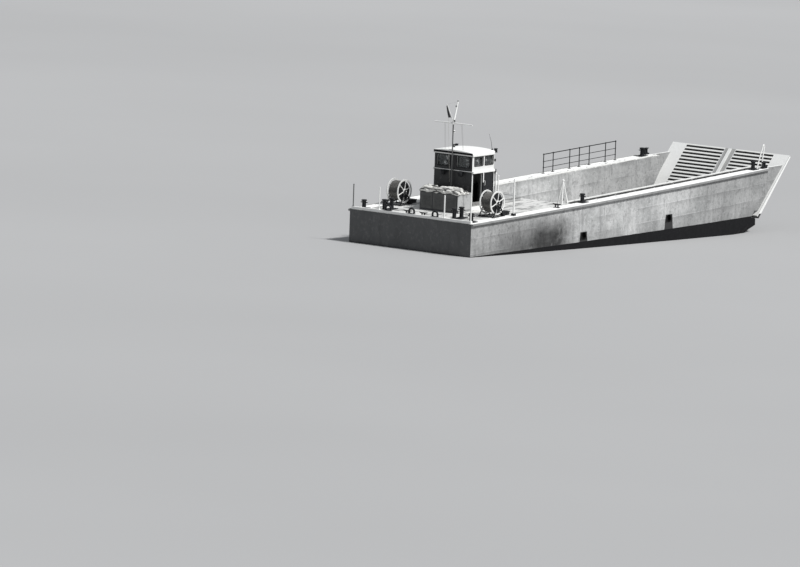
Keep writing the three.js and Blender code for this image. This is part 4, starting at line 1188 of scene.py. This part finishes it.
def propellers():
    """Four-bladed screws, handed, with their bosses and shafts."""
    for side, sign in SIDES:
        s = Shape(SHAFT.x, sign * SHAFT.y, SHAFT.z)
        boss = [(0.012, -0.19), (0.05, -0.165), (0.08, -0.11), (0.085, 0), (0.08, 0.11)]
        s.lathe(boss, axis=AHEAD, sides=40)
        s.lathe([(0.045, 0.1), (0.045, 3.01)], axis=AHEAD, sides=32)
        for turn in turns(4):
            loops = []
            for share in [k / 14 for k in range(15)]:
                r = 0.06 + (SHAFT.radius - 0.062) * share
                taper = 0.55 if share < 0.5 else 0.99
                chord = 0.30 * sqrt(max(0.004, 1 - (2 * share - 1) ** 2 * taper))
                pitch = atan2(0.52, tau * max(r, 0.1))
                thick = 0.018 * (1 - share) + 0.005
                loop = []
                for a in turns(16):
                    along = chord / 2 * cos(a)
                    off = thick / 2 * sin(a) + 0.012 * (1 - cos(a) ** 2)
                    ahead = along * sin(pitch) * sign + off - 0.03 * share
                    angle = turn + along * cos(pitch) / max(r, 0.11)
                    loop.append((ahead, r * sin(angle), r * cos(angle)))
                loops.append(loop)
            s.loops(loops)
        s.build(f"screw_{side}", "bronze", f"propeller_{side}", f"propeller_{side}", sharp=50)


def rudder_ribs():
    for side, sign in SIDES:
        s = Shape()
        for z in (0.3, 0.55, 0.8):
            for face in (-0.033, 0.033):
                s.at(0.75, sign * SHAFT.y + face, z).pad(0.35, 0.008, 0, 0.022)
        s.build(f"rudder_ribs_{side}", "hull_plain", f"rudder_{side}", sharp=35)


def ramp_outside():
    """Stiffening frames on the ramp's outer face, and its hinge straps."""
    s = Shape()
    length, half = RAMP.length, RAMP.half
    run = length - 0.07
    for k in range(5):
        u = 0.35 + k * 0.68
        w = RAMP_FACES.outer + RAMP_FACES.rise * (u - 0.07) / run
        s.box((u, 0.02 - half, w - 0.035), (u + 0.07, half - 0.02, w + 0.02), 0.006)
    lean = Matrix.Rotation(-atan2(RAMP_FACES.rise, run), 4, "Y")
    for y in (-2.4, -1.2, 0, 1.2, 2.4):
        s.box((0.12, y - 0.03, -0.125), (length - 0.08, y + 0.03, -0.072), 0.006, lean)
    for _, sign in SIDES:
        s.box((0.1, sign * (half - 0.004), 0.028), (length - 0.01, sign * (half + 0.006), 0.056), 0.002)
    for y in (-1.7, -0.6, 0.6, 1.7):
        s.box((0.05, y - 0.11, -0.098), (0.42, y + 0.11, -0.06), 0.006)
    hinge = Matrix.Translation((RAMP.x, 0, RAMP.z)) @ Matrix.Rotation(-RAMP.angle, 4, "Y")
    bmesh.ops.transform(s.bm, matrix=hinge, verts=s.bm.verts)
    s.build("ramp_frames", "hull_plain", "ramp", sharp=35)


def lashing_rings():
    """Rings in pads along the well's sides and on the side decks."""
    s = Shape()
    for _, sign in SIDES:
        for k in range(9):
            x, z = 7.9 + k * 1.4, 2.1
            wall = deck(x) - 1.3
            slope = atan2(0.15, wall)
            out = Vector((0, -sign * cos(slope), sin(slope)))
            s.at(x, sign * (2.2 + 0.15 * (z - 1.3) / wall), z)
            s.lathe([(0.05, 0.001), (0.05, 0.01), (0.03, 0.014)], axis=out, sides=20)
            hung = [Vector((b, 0, a - 0.035)) for a, b in [on_circle(0.04, t) for t in turns(20)]]
            s.tube([p + out * 0.018 for p in hung], 0.007, 8, True)
        for k in range(8):
            x = 8.9 + k * 1.35
            s.at(x, sign * 2.62, deck(x)).lathe([(0.055, 0.001), (0.055, 0.008), (0.035, 0.012)], sides=20)
            s.tube([(*on_circle(0.045, t), 0.02) for t in turns(20)], 0.007, 8, True)
    s.build("lashing_rings", "steel")


def hatch_fittings():
    s = Shape(HATCH.x, 0, deck(HATCH.x) + HATCH.z)
    s.pad(0.66, 0.66, -0.001, 0.012, 0.005)
    for x in (-0.45, 0.45):
        s.box((x - 0.03, -0.6, 0.008), (x + 0.03, 0.6, 0.028), 0.005)
    for x in (-0.3, 0.3):
        for y in (-0.651, 0.651):
            s.lathe([(0.02, 0), (0.02, 0.02), (0.012, 0.03)], (x, y, 0), sides=16)
    s.tube([(0.6, -0.12, 0.01), (0.6, -0.12, 0.06), (0.6, 0.12, 0.06), (0.6, 0.12, 0.01)], 0.01, 10)
    s.build("hatch_stiffeners", "hull_plain", "engine_hatch", sharp=35)


def trunk_fittings():
    """Louvred doors in the trunk's after end, and battens along its sides."""
    aft, half, top, low = TRUNK.aft, TRUNK.half, TRUNK.top, deck(TRUNK.aft)
    s = Shape()
    for y0, y1 in [(-0.88, -0.32), (-0.28, 0.28), (0.32, 0.88)]:
        s.box((aft - 0.012, y0, low + 0.08), (aft + 0.002, y1, top - 0.06), 0.006)
        for z in [low + 0.18 + k * 0.06 for k in range(7)]:
            s.box((aft - 0.03, y0 + 0.08, z), (aft - 0.008, y1 - 0.08, z + 0.018))
        for z in (low + 0.14, top - 0.16):
            s.tube([(aft - 0.018, y0 + 0.015, z), (aft - 0.018, y0 + 0.015, z + 0.07)], 0.009, 8)
    s.build("trunk_doors", "trunk_grey", sharp=35)
    s = Shape()
    battens = [
        (aft + 0.05, TRUNK.fore, top - 0.05, top - 0.01),
        (aft + 0.05, TRUNK.fore, low + 0.02, low + 0.07),
        (2.25, 2.28, low + 0.05, top - 0.03),
    ]
    for _, sign in SIDES:
        for x0, x1, z0, z1 in battens:
            s.box((x0, sign * (half - 0.002), z0), (x1, sign * (half + 0.012), z1))
    s.build("trunk_battens", "hull_plain", sharp=35)


house_roof()
window_frames()
house_trim()
door_fittings()
helm()
mast()
flag()
canvas_cover()
for side_name, side_sign in SIDES:
    reel(side_name, side_sign)
bollards()
bow_fairleads()
small_posts()
stern_rail()
deck_cleats()
guard_rail()
propellers()
rudder_ribs()
ramp_outside()
lashing_rings()
hatch_fittings()
trunk_fittings()
dress_frame()
make_camera()
make_floor()
make_lights()
